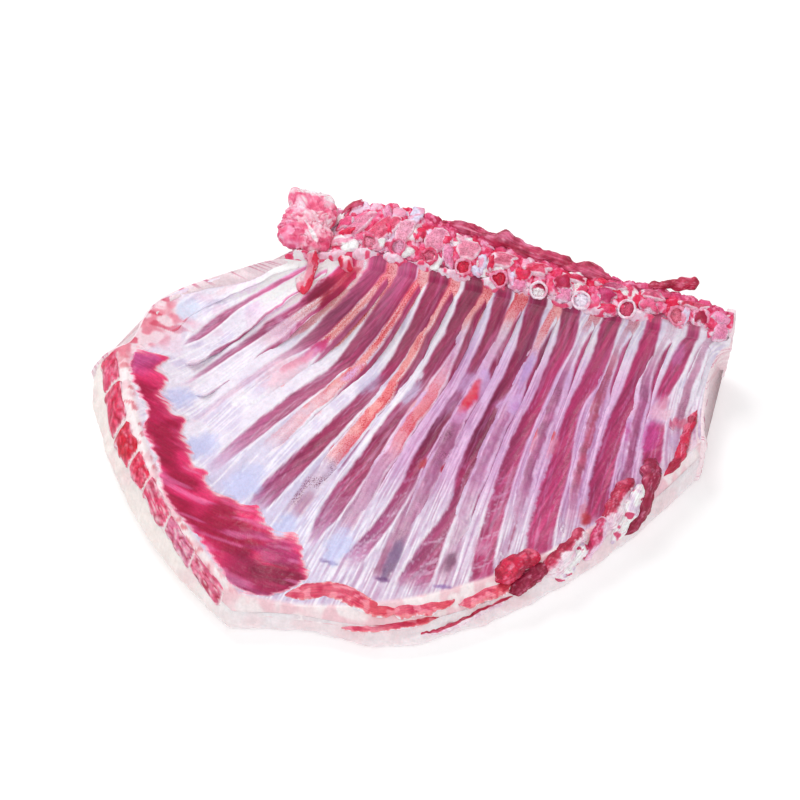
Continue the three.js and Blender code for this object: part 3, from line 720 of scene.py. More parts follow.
def lay_spots(base, place, distance):
    x_noise = rough(place * 9, distance * 0.25, seed=31)
    for at, away, across, along, colour, strength in SPOTS:
        near = ((place - at) * spread(place, distance) / across) ** 2 + ((distance - away) / along) ** 2
        base = lay(base, colour, strength * step(1.7, 0.2, near + 0.45 * x_noise))
    return base

# %% Paint of the inner side
SALMON_BY_RIB = {   # how red each rib's bone shows, by distance
    3: [[0, 0.3], [20, 0.6], [60, 0.4], [85, 0]], 4: [[0, 0.8], [52, 0.95], [64, 0.2], [120, 0]],
    5: [[0, 0.8], [60, 1], [90, 0.8], [106, 0.4], [150, 0.2], [165, 0]],
    6: [[0, 0.8], [100, 1], [128, 0.8], [150, 0.5], [160, 0]],
    7: [[0, 0.9], [18, 0.8], [28, 0.15], [55, 0.3], [70, 0.7], [120, 0.7], [140, 0.25], [160, 0]],
    8: [[0, 0.9], [12, 0.6], [22, 0.1], [40, 0]], 9: [[0, 0.8], [25, 0.5], [35, 0]], 10: [[0, 0.7], [14, 0]],
    11: [[0, 0.4], [10, 0]],
}
DUSK_BY_RIB = {   # how dusky each rib shows
    6: [[150, 0], [165, 0.3], [200, 0.3], [212, 0]], 7: [[130, 0], [150, 0.55], [200, 0.4], [215, 0]],
    8: [[85, 0], [100, 0.7], [200, 0.6], [232, 0.8], [240, 0]],
    9: [[60, 0], [90, 0.45], [205, 0.35], [215, 0.7], [238, 0]],
    10: [[20, 0.2], [50, 0.8], [130, 0.75], [170, 0.2], [200, 0]],
    11: [[10, 0.3], [40, 0.9], [120, 0.9], [140, 0.4], [180, 0]],
    12: [[0, 0.2], [40, 0.8], [110, 0.9], [125, 0.5]], 13: [[0, 0.4], [40, 0.8], [70, 0.6], [100, 0.1]],
}
BONE_LEFT = [[1, 0.3], [3, 0.26], [4, 0.15], [6, 0.15], [8, 0.2], [9, 0.12], [10, 0.08], [13, 0.12]]
BONE_RIGHT = [[1, 0.3], [3, 0.3], [4, 0.2], [5, 0.15], [6, 0.13], [8, 0.12], [10, 0.13], [13, 0.06]]


def by_rib(tables, number, distance):
    """Reads a table of guides, one for each rib."""
    value = np.zeros(number.shape)
    for rib, pairs in tables.items():
        here = number == rib
        value[here] = guide(pairs, distance[here])
    return np.clip(value, 0, 1)


BRUISE = np.array([0.05, 0.20, 0.08])   # how much red, green and blue the middle of the hind half loses


def paint_inside(place, distance, xy):
    """The tone of the inner side with its ribs, the strength of its fibres, and its dots."""
    place, distance = alike(place, distance)
    along = distance / length_at(place)
    wide = spread(place, distance)
    hind = step(7.5, 9.5, place)
    number = np.clip(np.round(place), 1, RIBS)
    off = (place - number) * wide
    gap = np.floor(place)

    threads = rough(off * 1.3, distance / 40, gap * 2.7, 28)
    white = lay((235, 226, 240), (218, 206, 230), patches(xy, 12, 0.4, 0.7, 12))
    far = 0.55 * step(120, 165, distance)
    white = lay(white, (200, 192, 222), far * window(4, 5, 9.5, 8, place))
    dull = mix(0.75, 0.55, hind)
    white = lay(white, (206, 178, 204), dull * step(6.5, 8.2, place) * step(30, 80, distance))
    mauve = 0.6 * step(0, 0.6, threads)
    white = lay(white, (184, 128, 168), mauve * step(5, 8, place) * step(20, 60, distance))
    white = lay(white, BRIGHT, 0.8 * step(0.1, 0.6, -threads))
    tone = lay(white, (236, 206, 226), step(3.5, 1.5, place) * 0.6 * patches(xy, (14, 9), 0.4, 0.6, 16))

    uneven = lumpy(xy, 8, 41)
    near_ridge = step(90, 25, distance)
    left_edge = off + guide(BONE_LEFT, number) * wide
    right_edge = guide(BONE_RIGHT, number) * (1 + 0.8 * near_ridge) * wide - off
    wavy = 0.6 * rough(distance / 8, number * 3.3, seed=17)
    bone = step(-0.3, 0.7, left_edge + wavy) * step(-0.3, 0.9, right_edge - wavy)
    salmon = by_rib(SALMON_BY_RIB, number, distance)
    redder = patches(xy, 11, 0.35, 0.75, 44) + 0.7 * step(3, 0, left_edge)
    rosy = lay(SALMON, (228, 84, 100), 0.6 * redder)
    red_side = 0.85 * step(2.4, 0.4, left_edge)
    rosy = lay(rosy, (220, 40, 62), red_side * window(3.5, 4.5, 8.5, 7.5, place))
    tone = lay(tone, rosy, bone * salmon)
    dusk = by_rib(DUSK_BY_RIB, number, distance)
    dusky = lay(LILAC_BONE, (174, 76, 100), window(10.4, 11, 11.6, 11.2, place))
    dusky = lay(dusky, (206, 150, 182), 0.6 * step(0, 0.7, rough(off * 1.2, distance / 14, number, 49)))
    tone = lay(tone, shade(dusky, 0.1 * uneven), 0.85 * bone * dusk)

    in_left, in_right, show = muscle_band(place, distance)
    slants = strokes(in_left, distance, gap, 13)
    fibres = rough(in_left * 0.55 + distance * 0.12, distance * 0.03, gap * 5.1, 11)
    ragged = 0.5 * rough(distance / 10, gap * 2.0, seed=25)
    feather = slants * mix(0.3, 1.1, step(0.3, 0.75, along) * hind)
    inside = step(-1, 1, in_left + ragged + feather) * step(-1, 1, in_right - ragged + 0.4 * feather)
    muscle = mix(MUSCLE_RED, MUSCLE_PINK, step(8.5, 10.2, place)[..., None])
    # painted shade: the muscle darkens towards the ridge, as in the shadow of its overhanging lip
    muscle = lay(muscle, MUSCLE_IN_SHADE, step(45, 0, distance) * mix(0.6, 0.4, hind))
    # painted highlight: pale pink streaks of sheen on the muscle near the ridge
    sheen_streaks = step(0, 0.6, rough(in_left * 0.35, distance * 0.03, gap * 1.7, 36))
    muscle = lay(muscle, (200, 116, 160), 0.4 * sheen_streaks * step(60, 20, distance))
    muscle = lay(muscle, MUSCLE_LILAC, step(0.5, 0.85, along) * step(9.5, 7, place))
    middle = 0.6 * window(6.4, 7.2, 9.4, 8.6, place)
    muscle = lay(muscle, (120, 34, 74), middle * window(40, 70, 150, 110, distance))
    # paler muscle on the front ribs: near the ridge this is painted light against the shade of the neck flap
    # and the lip, and lower down it is the pale membrane over the muscle
    muscle = lay(muscle, (210, 144, 182), mix(0.3, 0.7, step(60, 95, distance)) * step(5.4, 3.6, place))
    muscle = shade(muscle, 0.14 * fibres)
    pale = step(0.1, 0.6, rough(in_left * 0.8, distance * 0.022, gap * 2.3, 24))
    muscle = lay(muscle, MEMBRANE, 0.32 * pale * step(0.08, 0.25, along))
    slanting = 0.5 * step(0.2, 0.7, slants) * step(0.35, 0.7, along)
    muscle = lay(muscle, MEMBRANE, slanting * window(6, 7.5, 10.5, 9.5, place))
    # painted shade: a dark line in the crease along the muscle's right edge, beside the next rib
    shaded = 0.4 * np.exp(-((in_right - 1.0) / 0.8) ** 2)
    muscle = lay(muscle, MUSCLE_IN_SHADE, shaded * step(0.9, 0.5, along) * step(9, 8, place))
    tone = lay(tone, muscle, inside * show)
    beside = np.exp(-((in_right + 1.2) / 0.7) ** 2) + np.exp(-((in_left + 1.2) / 0.8) ** 2)
    beside = mix(0.8, 0.45, hind) * np.minimum(beside, 1)
    tone = lay(tone, BRIGHT, beside * step(0.2, 0.5, show) * step(0.03, 0.1, along))

    past = distance - length_at(place)
    breast = breast_share(place)
    edge_fat = lay((246, 232, 234), PINK_FAT, patches(xy, 7, 0.5, 0.7, 26))
    edge_fat = lay(edge_fat, (216, 96, 112), 0.7 * patches(xy, 4, 0.62, 0.72, 27) * breast)
    tone = lay(tone, edge_fat, step(-6, -1, past))
    corner = step(1.6, 0.8, place) * step(88, 104, distance)
    pinkish = lay((240, 208, 216), (224, 110, 132), 0.9 * patches(xy, (8, 6), 0.5, 0.75, 18))
    pinkish = lay(pinkish, (206, 44, 76), 0.8 * patches(xy, (9, 4), 0.62, 0.76, 29))
    tone = lay(tone, pinkish, 0.9 * corner)
    tone = lay_spots(tone, place, distance)
    # painted light: the meat near the ridge and behind the neck flap is lightened where it lies in the shade
    # of the lip and the flap
    glow = 0.18 * step(32, 4, distance) * step(7, 4.5, place)
    glow = glow + 0.22 * step(3.4, 2.6, place) * step(75, 30, distance)
    tone = shade(tone, 0.025 * lumpy(xy, 2.2, 19) + glow)
    bruised = window(6.3, 7.3, 13, 12, place) * window(10, 45, 180, 130, distance)
    tone = tone * (1 - bruised[..., None] * BRUISE)

    fibre = np.maximum(inside * show * mix(1, 0.6, hind), 0.12) * (1 - corner) * step(1, -4, past)
    old = window(150, 162, 214, 200, distance) * (number == 6)
    old = old + window(98, 108, 134, 122, distance) * (number == 8)
    old = old + 0.5 * window(30, 40, 60, 50, distance) * (number == 10)
    dots = lay(BLOOD, (120, 60, 92), step(0, 0.5, old + dusk))
    patchy = patches(xy, 10, 0.4, 0.65, 46)
    amount = salmon * np.minimum(0.5 + redder, 1) + 0.8 * old * patchy + 0.4 * dusk * patchy
    return tone, fibre, (dots, amount * bone * (1 - inside))


# %% Relief of the inner side
def lip_drop(distance):
    """How far the inner side lies below its lip, close to the backbone."""
    return LIP_DROP * np.exp(-distance / LIP_FADE)


def relief(place, distance, xy):
    length = length_at(place)
    in_left, in_right, show = muscle_band(place, distance)
    gap = np.floor(place)
    calm = step(1, 10, distance) * step(0, 14, length - distance)
    inside = np.minimum(in_left, in_right)
    hollow = 1.3 * step(-1, 5, inside) * show + 0.4 * step(-0.6, 0.8, inside) * show
    beside = 0.5 * np.exp(-((inside + 2.0) / 1.6) ** 2) * show
    number = np.clip(np.round(place), 1, RIBS)
    off_rib = np.abs(place - number) * spread(place, distance) - rib_half(number, distance)
    on_rib = 0.5 * step(0.5, -1.5, off_rib)
    within = step(-1, 1, inside)
    fibres = 0.2 * rough(in_left * 0.6 + distance * 0.16, distance * 0.04, gap * 5.1, 11) * within
    slants = 0.2 * strokes(in_left, distance, gap, 13) * step(0.35, 0.75, distance / length) * within
    lumps = 0.4 * lumpy(xy, 15, 20) + 0.12 * lumpy(xy, 3, 21)
    return (beside - hollow - on_rib + fibres + slants) * calm + lumps


# %% A closed skin on a grid
def curl(place):
    """The underside curls up a little towards the two cut ends."""
    front = (place - FRONT_END) / 0.5
    hind = (HIND_END - place) / 0.5
    return END_CURL * (np.exp(-front * front) + np.exp(-hind * hind))


def stacked(stops):
    """All distances and all heights of [distance, height] stops, as two arrays."""
    return (np.stack([stop[k] for stop in stops], 1) for k in range(2))


def meat_underside(place):
    """[distance, height] stops from the rim down, under the ribs and up the ridge's back."""
    length = length_at(place)
    breast = breast_share(place)
    out = rim_width(place)
    top = surface_height(place, length + out) - 1
    depth = guide(RIDGE_DEPTH, place)
    lip = guide(LIP_HEIGHT, place)
    back = lip + guide(RIDGE_LIFT, place)
    lifted = curl(place)
    return [
        (length + out, top),
        (length + out - 1, top - mix(3, 15, breast)),
        (length - 12, mix(8, 13, breast) + lifted * 0.5),
        (length - 40, COVER_THICKNESS + 1 + lifted),
        (length * 0.45, COVER_THICKNESS + lifted),
        (8 + 0 * length, COVER_THICKNESS + lifted),
        (12 - depth, COVER_THICKNESS + 3 + lifted),
        (2 - depth, 24 + lifted * 0.5),
        (-depth, lip * 0.62),
        (1 - depth, back - 2),
    ]


def rim_width(place):
    """How far the meat reaches past the ribs' ends."""
    return mix(guide(EDGE_WIDTH, place) * 0.6, guide(STERNEBRA_OUT, place) + 6, breast_share(place))


def inset(across, up, amount):
    """Closed loops of [across, up] made smaller by an amount."""
    da = np.roll(across, -1, -1) - np.roll(across, 1, -1)
    du = np.roll(up, -1, -1) - np.roll(up, 1, -1)
    size = np.maximum(np.hypot(da, du), 1e-6)
    area = np.sum(across * np.roll(up, -1, -1) - up * np.roll(across, -1, -1), -1, keepdims=True)
    turn = np.sign(area) * amount
    return across - turn * du / size, up + turn * da / size


def closed_grid(places, across, up, end_step=0.03, end_inset=1.2):
    """The rib places, distances, points, quads and end caps of a skin of [distance, height] loops."""
    near = [inset(across[column], up[column], end_inset) for column in (0, -1)]
    all_across = np.concatenate([near[0][0][None], across, near[1][0][None]])
    all_up = np.concatenate([near[0][1][None], up, near[1][1][None]])
    columns, rows = all_across.shape
    outer_places = np.concatenate([[places[0] - end_step], places, [places[-1] + end_step]])
    all_places = np.repeat(outer_places[:, None], rows, 1)
    points = raised(all_places, all_across, all_up)
    quads = tube_faces(columns, rows)
    caps = []
    for column, way in ((0, -1), (columns - 1, 1)):
        cap = cap_faces(np.stack([all_across[column], all_up[column]], -1), column * rows)
        caps.append(match_turn(cap[:, ::way], quads))
    return all_places, all_across, points, quads, np.concatenate(caps)


def match_turn(cap, quads):
    """Turns a cap's triangles so that each edge runs against its neighbour's."""
    edges = {(a, b) for face in quads.tolist() for a, b in zip(face, face[1:] + face[:1])}
    sides = [(a, b) for face in cap.tolist() for a, b in zip(face, face[1:] + face[:1])]
    same, against = sum((a, b) in edges for a, b in sides), sum((b, a) in edges for a, b in sides)
    return cap[:, ::-1] if same > against else cap


# %% The meat
MEAT_COLUMNS = 500
INNER_ROWS = 160
RIM_ROWS = 10
RIDGE_ROWS = 5


def make_meat():
    places = np.linspace(FRONT_END, HIND_END, MEAT_COLUMNS)
    length, depth, out = length_at(places), guide(RIDGE_DEPTH, places), rim_width(places)
    lip = guide(LIP_HEIGHT, places)
    stops = [(0 * lip, lip - 4), (0.6 + 0 * lip, lip - LIP_DROP)]
    for i in range(1, INNER_ROWS + 1):
        distance = 0.8 + (length - 0.8) * (i / INNER_ROWS) ** 1.03
        stops.append((distance, inner_height(places, distance) - lip_drop(distance)))
    for i in range(1, RIM_ROWS + 1):
        distance = length + (out - 0.5) * i / RIM_ROWS
        stops.append((distance, surface_height(places, distance) - 0.5 * i / RIM_ROWS))
    stops += meat_underside(places)[1:]
    for share in (0.85, 0.65, 0.4, 0.27, 0.1):
        stops.append((-share * depth, surface_height(places, -share * depth) - 3))
    across, up = stacked(stops)
    top = slice(2, 2 + INNER_ROWS + RIM_ROWS)
    up[:, top] += relief(places[:, None], across[:, top], plan(places[:, None], across)[:, top])
    all_places, all_across, points, quads, caps = closed_grid(places, across, up)
    tone, fibre, fleck = paint_inside(all_places, np.maximum(all_across, 0), points[..., :2])
    # dark red on the meat's top under the ridge: the muscle's colour, darkened as painted shade under the lip
    tone = lay(tone, (150, 44, 78), step(-5, -9, all_across))
    tone[:, top.stop:-RIDGE_ROWS] = PINK_FAT
    ends = [0, -1]
    pattern = cloud(all_across[ends] / 5, points[ends][..., 1] / 3, seed=23)
    tone[ends] = lay((250, 230, 236), PINK_FAT, step(0.45, 0.7, pattern))
    grain = np.stack([all_places * 26 + all_across * 0.25, all_across], -1)
    return add_piece("meat", points, tone, SKIN, "flesh", ["flesh"], quads, caps,
                     grain=grain, fleck=fleck, fibre=fibre)


meat = make_meat()

# %% [markdown]
# ## Ribs by Geometry Nodes
# A rib is a flat bar that follows its line, and there are thirteen of them, so this is
# work for Geometry Nodes: each line becomes a curve, and one profile is swept along all
# of them. The profile is an ellipse that sits low, so that only its crown shows above
# the meat, as a rib does under its thin membrane. The tree also stores how far along and
# across the rib each vertex lies, and the paint is worked out from those two numbers.

# %% The tree that sweeps a profile along lines
def new_tree(name, sizes):
    """A tree with geometry in and out, and a named input for each size."""
    tree = bpy.data.node_groups.new(name, "GeometryNodeTree")
    tree.interface.new_socket("Geometry", in_out="INPUT", socket_type="NodeSocketGeometry")
    for label, value in sizes.items():
        kind = "NodeSocketInt" if isinstance(value, int) else "NodeSocketFloat"
        tree.interface.new_socket(label, in_out="INPUT", socket_type=kind).default_value = value
    tree.interface.new_socket("Geometry", in_out="OUTPUT", socket_type="NodeSocketGeometry")
    return tree


def store(tree, geometry, label, value, kind="FLOAT"):
    values = {"Geometry": geometry, "Name": label, "Value": value}
    return add_node(tree, "GeometryNodeStoreNamedAttribute", values, data_type=kind, domain="POINT")


def stored(tree, label):
    node = add_node(tree, "GeometryNodeInputNamedAttribute", {"Name": label}, data_type="FLOAT")
    return node.outputs["Attribute"]


def finish_tree(tree, geometry, material):
    whole = add_node(tree, "GeometryNodeRealizeInstances", {"Geometry": geometry})
    painted = add_node(tree, "GeometryNodeSetMaterial", {"Geometry": whole, "Material": material})
    add_node(tree, "NodeGroupOutput", {"Geometry": painted})


def sweep_tree(material):
    """An ellipse, lowered by a share of its size, is swept along every line."""
    tree = new_tree("swept bars", {"Sides": 24, "Thickness": 0.55, "Sink": 0.3})
    add = partial(add_node, tree)
    given = add("NodeGroupInput").outputs
    curve = add("GeometryNodeMeshToCurve", {"Mesh": given["Geometry"]})
    upright = add("GeometryNodeSetCurveNormal", {"Curve": curve}, mode="Z_UP")
    lines = store(tree, upright, "along", add("GeometryNodeSplineParameter"))

    circle = add("GeometryNodeCurvePrimitiveCircle", {"Resolution": given["Sides"], "Radius": 1.0})
    profile = store(tree, circle, "across", add("GeometryNodeInputPosition"), "FLOAT_VECTOR")
    down = add("ShaderNodeMath", {0: given["Sink"], 1: -1.0}, operation="MULTIPLY")
    size = add("ShaderNodeCombineXYZ", {"X": 1.0, "Y": given["Thickness"], "Z": 1.0})
    shift = add("ShaderNodeCombineXYZ", {"Y": down})
    flat = add("GeometryNodeTransform", {"Geometry": profile, "Scale": size, "Translation": shift})

    sweep = add("GeometryNodeCurveToMesh", {"Curve": lines, "Profile Curve": flat,
                                            "Scale": stored(tree, "half_width"), "Fill Caps": True})
    finish_tree(tree, sweep, material)
    return tree


def grow(name, mesh, tree, sizes):
    """Runs a tree on a mesh and returns the result as a plain mesh object."""
    piece = new_piece(name, mesh)
    modifier = piece.modifiers.new("nodes", "NODES")
    modifier.node_group = tree
    inputs = {item.name: item.identifier for item in tree.interface.items_tree if item.in_out == "INPUT"}
    for label, value in sizes.items():
        modifier[inputs[label]] = value
    evaluated = piece.evaluated_get(bpy.context.evaluated_depsgraph_get())
    plain = bpy.data.meshes.new_from_object(evaluated)
    piece.modifiers.clear()
    piece.data = plain
    return piece


def read(mesh, label, width=1):
    return fetch(mesh.attributes[label].data, "vector" if width == 3 else "value", width)


def millimetres(mesh):
    """Where the vertices are, in the meat's own millimetres."""
    return (fetch(mesh.vertices, "co", 3) - OFFSET) * 1000


def set_positions(mesh, points):
    mesh.vertices.foreach_set("co", np.asarray(metres(points), np.float32).ravel())
    mesh.update()


def lines_mesh(name, lines):
    """A mesh of open polylines in metres. Each line is (points, {label: value for each point})."""
    points, edges, labels = [], [], {}
    for line, values in lines:
        first = len(points)
        points += line.tolist()
        edges += [(first + k, first + k + 1) for k in range(len(line) - 1)]
        for label, value in values.items():
            labels.setdefault(label, []).extend(np.broadcast_to(value, len(line)).tolist())
    mesh = bpy.data.meshes.new(name)
    mesh.from_pydata(points, edges, [])
    for label, values in labels.items():
        mesh.attributes.new(label, "FLOAT", "POINT").data.foreach_set("value", values)
    return mesh


# %% The ribs
RIB_CROWN = 1.5


def rib_path(number, count=170):
    distance = np.linspace(RIB_START, rib_end(number), count)
    along = np.linspace(0, 1, count)
    half = guide(RIB_WIDTH, number) / 2 * (0.75 + 0.25 * np.minimum(1, 4 * along)) / 0.9
    half *= np.sqrt(np.clip(1 - np.maximum(0, (along - 0.93) / 0.07) ** 2, 0.02, 1))
    half *= np.sqrt(np.clip(1 - np.maximum(0, (0.015 - along) / 0.015) ** 2, 0.3, 1))
    wobble = 0.5 * rough(distance / 17, number * 3.0, seed=47)
    place = number + wobble / spread(number, distance)
    half = half * (1 + 0.05 * rough(distance / 13, number * 5.0, seed=48))
    points = metres(on_surface(place, distance, -lip_drop(distance)))
    return points, {"half_width": half / 1000, "number": number, "distance": distance, "center": place}


def make_ribs():
    mesh = lines_mesh("rib lines", [rib_path(n) for n in range(1, RIBS + 1)])
    ribs = grow("ribs", mesh, sweep_tree(RIB_BONE), {"Sides": 36, "Thickness": 0.34, "Sink": 0.215})
    co = millimetres(ribs.data)
    along, number, distance, half, middle = (
        read(ribs.data, label) for label in ("along", "number", "distance", "half_width", "center"))
    side = read(ribs.data, "across", 3)
    place = middle + side[:, 0] * (half * 1000) / spread(number, distance)
    tone, fibre, fleck = paint_inside(place, distance, co[:, :2])
    level = surface_height(place, distance) - lip_drop(distance) + relief(place, distance, co[:, :2])
    later = step(2.5, 4.5, number)
    swell = RIB_CROWN * mix(0.5, 1, later) * (1 - side[:, 0] ** 2) ** 1.5 + 0.08 * lumpy(co[:, :2], 1.8, 50)
    sunk = 2.6 * step(mix(0.4, 0.66, later), mix(0.8, 1, later), along)
    sunk = sunk + 1.2 * step(0.05, 0, along) + 0.9 * step(0.8, 1, np.abs(side[:, 0]))
    co[:, 2] = np.where(side[:, 1] > -0.05, level + swell - sunk, np.minimum(co[:, 2], level - 1.2))
    set_positions(ribs.data, co)
    grain = np.stack([place * 26 + distance * 0.25, distance], -1)
    nodes = [f"rib_{n:02d}" for n in range(1, RIBS + 1)]
    return dress(ribs, tone, RIB_BONE, "rib", nodes, grain=grain, fleck=fleck, fibre=fibre)


ribs = make_ribs()

# %% [markdown]
# ## Fat on the outer side
# Under the meat lies a coat of fat, thick outside the breastbone and thin elsewhere.
# Only its rim shows from above, but the whole of it shows from the sides and from
# below. It is lofted like the meat, from a short list of stops in each upright sheet,
# and a smooth curve through the stops gives the soft edge that cold fat has.

# %% The fat cover
COVER_COLUMNS = 321
COVER_ROWS = 190
FAT_OVERLAP = 3.0   # the fat creeps this far over the meat, so no gap shows


def shifted(across, up, amount):
    da, du = np.gradient(across, axis=1), np.gradient(up, axis=1)
    size = np.maximum(np.hypot(da, du), 1e-6)
    return across + amount * du / size, up - amount * da / size


def cover_stops(place):
    """Loops of stops, first along the meat and then along the outer side, and where that begins."""
    length = length_at(place)
    edge = guide(EDGE_HEIGHT, place)
    depth = guide(RIDGE_DEPTH, place)
    lip = guide(LIP_HEIGHT, place)
    nose = length + guide(EDGE_WIDTH, place)
    tuck = mix(14, 24, breast_share(place))
    across, up = shifted(*stacked(meat_underside(place)), 0.4)
    start = across[:, 0] + 0.5
    middle = mix(start, nose, 0.55)
    lifted = curl(place)
    outer_across, outer_up = stacked([
        (-2 - depth, lip + guide(RIDGE_LIFT, place) - 3),
        (-4 - depth, lip * 0.62),
        (-4 - depth, 26 + lifted * 0.5),
        (1 - depth, 7 + lifted),
        (16 - depth, lifted),
        (8 + 0 * length, lifted),
        (length * 0.45, lifted),
        (nose - tuck, lifted * 0.8),
        (nose - tuck * 0.4, edge * 0.14 + lifted * 0.5),
        (nose - tuck * 0.08, edge * 0.55),
        (nose, edge),
        (middle, surface_height(place, middle)),
        (start - FAT_OVERLAP, surface_height(place, start - FAT_OVERLAP) + 0.1),
    ])
    return np.concatenate([across, outer_across], 1), np.concatenate([up, outer_up], 1), across.shape[1]


def resample(across, up, first_outer, rows):
    """Closed loops with evenly spread, slightly rounded points. Most rows go to the outer side."""
    closed = [np.concatenate([part, part[:, :1]], 1) for part in (across, up)]
    size = np.hypot(np.diff(closed[0]), np.diff(closed[1]))
    weight = np.where(np.arange(size.shape[1]) < first_outer - 1, 0.25, 1.0)
    weight[-4:] = 2.5
    travel = np.concatenate([np.zeros((len(size), 1)), np.cumsum(size * weight, 1)], 1)
    result = np.empty((2, len(across), rows))
    for column in range(len(across)):
        at = np.linspace(0, travel[column, -1], rows, endpoint=False)
        for k in range(2):
            result[k, column] = np.interp(at, travel[column], closed[k][column])
    for _ in range(3):
        result = 0.5 * result + 0.25 * (np.roll(result, 1, 2) + np.roll(result, -1, 2))
    return result


def make_cover():
    places = np.linspace(FRONT_END, HIND_END, COVER_COLUMNS)
    stops_across, stops_up, first_outer = cover_stops(places)
    across, up = resample(stops_across, stops_up, first_outer, COVER_ROWS)
    points = raised(places[:, None], across, up)
    thin_across, thin_up = inset(across, up, 1.0)
    seam = stops_across[:, -1:]
    outside = step(1, 6, across - seam) + step(14, 6, up)
    outside = outside + step(-2, -6, across + guide(RIDGE_DEPTH, places)[:, None])
    bulge = 1.5 * lumpy(points, 22, 51) + 0.6 * lumpy(points, 6, 52) + 0.2 * lumpy(points, 2, 53)
    bulge = (bulge - 0.5) * np.clip(outside, 0, 1)
    across = across + (across - thin_across) * bulge
    up = np.maximum(up + (up - thin_up) * bulge, 0.0)
    all_places, all_across, points, quads, caps = closed_grid(places, across, up, end_inset=0.9)
    tone = paint_cover(all_places, all_across, points)
    grain = np.stack([all_places * 26, all_across], -1)
    return add_piece("outer_fat", points, tone, FAT, "fat", ["fat_cover"], quads, caps, grain=grain)


def paint_cover(place, distance, points):
    past = distance - length_at(place)
    tone = lay((240, 228, 233), CREAM_FAT, breast_share(place) * 0.9 + 0.1)
    tone = lay(tone, (240, 204, 210), 0.4 * patches(points, 16, 0.5, 0.8, 54) * step(-12, 5, past))
    x, y, z = np.moveaxis(points, -1, 0)
    lean_meat = step(0.46, 0.62, cloud(x / 38, y / 24, z / 24, seed=55) + 0.1 * lumpy(points, 5, 56))
    below = step(2, -12, past)
    streaky = step(-0.5, 0.5, lumpy(points, (30, 3, 6), 59))
    tone = lay(tone, (198, 96, 118), 0.6 * lean_meat * below * streaky)
    veins = step(0.04, 0, np.abs(cloud(x / 14, y / 20, z / 14, seed=57) - 0.5)) * below
    tone = lay(tone, (196, 84, 100), 0.35 * veins)
    return shade(tone, 0.03 * lumpy(points, 4, 58))


cover = make_cover()

# %% [markdown]
# ## The two cut ends
# At the neck and at the loin a knife went straight through the rack, so both ends show
# it in layers: membrane, rib muscle, a seam of fat, outer muscle and the coat of fat. A
# thin pillow fits over each end. It is a grid over the section, pushed out a little in
# its middle because cut meat swells, and the layers are painted by their depth. The
# part near the ridge and the pale fat at its edges are painted lighter, as painted light
# against the shade that lies on the cut face.

# %% The cut ends
FACE_COLUMNS, FACE_ROWS = 240, 44
FACE_SWELL = 2.4
FACE_DEPTH = 2.5


def section_at(place, share):
    """Distances, tops and bottoms of the section at a rib place; share runs from ridge to rim."""
    stops_across, stops_up, first_outer = cover_stops(np.array([place]))
    outer, height = stops_across[0, first_outer:-2], stops_up[0, first_outer:-2]
    distance = mix(outer.min() + 0.5, outer.max() - 0.5, share)
    falling = np.where(distance > -2, lip_drop(np.maximum(distance, 0)), 1.4)
    top = surface_height(place, distance) - falling - 0.6
    keep = np.maximum.accumulate(outer)
    bottom = np.interp(distance, keep + np.arange(len(keep)) * 1e-4, height) + 0.3
    return distance, top, np.minimum(bottom, top - 0.5)


def eased(count):
    """Shares from 0 to 1 that lie closer together at both ends."""
    return 0.5 - 0.5 * np.cos(np.linspace(0, math.pi, count))


def make_cut_end(name, place, way):
    """The front face swells out, and a flat back face shares its border."""
    share = eased(FACE_COLUMNS)
    distance, top, bottom = (part[:, None] for part in section_at(place, share))
    up = mix(bottom, top, eased(FACE_ROWS)[None])
    distance = distance + 0 * up
    border = np.minimum(np.minimum(up - bottom, top - up), 40 * np.minimum(share, 1 - share)[:, None])
    torn = 0.9 * rough(distance / 7, up / 5, place, 37) + 0.3 * rough(distance / 2, up / 2, place, 38)
    swell = FACE_SWELL * np.sqrt(np.clip(border / 3, 0, 1))
    swell += torn * np.clip(border / 2, 0, 1)

    def at(out):
        return raised(place + way * out / spread(place, distance), distance, up)

    proud = (0.6 + 0.03 * spread(place, distance)) * step(-4, 50, distance)
    front = at(swell * mix(0.25, 1, step(0, 50, distance)) + 0.2 + proud)
    back = at(-FACE_DEPTH + 0 * swell)[1:-1, 1:-1].reshape(-1, 3)
    first = np.arange(up.size).reshape(up.shape)
    second = first.copy()
    second[1:-1, 1:-1] = up.size + np.arange(len(back)).reshape(second[1:-1, 1:-1].shape)
    quads = [np.stack([g[:-1, :-1], g[1:, :-1], g[1:, 1:], g[:-1, 1:]], -1).reshape(-1, 4)
             for g in (first, second)]
    tone = paint_cut(distance, up, top, bottom).reshape(-1, 3)
    tone = np.concatenate([tone, np.broadcast_to(tone[0], back.shape)])
    points = np.concatenate([front.reshape(-1, 3), back])
    return add_piece(name, points, tone, MUSCLE, "flesh", quads=np.concatenate([quads[0], quads[1][:, ::-1]]))


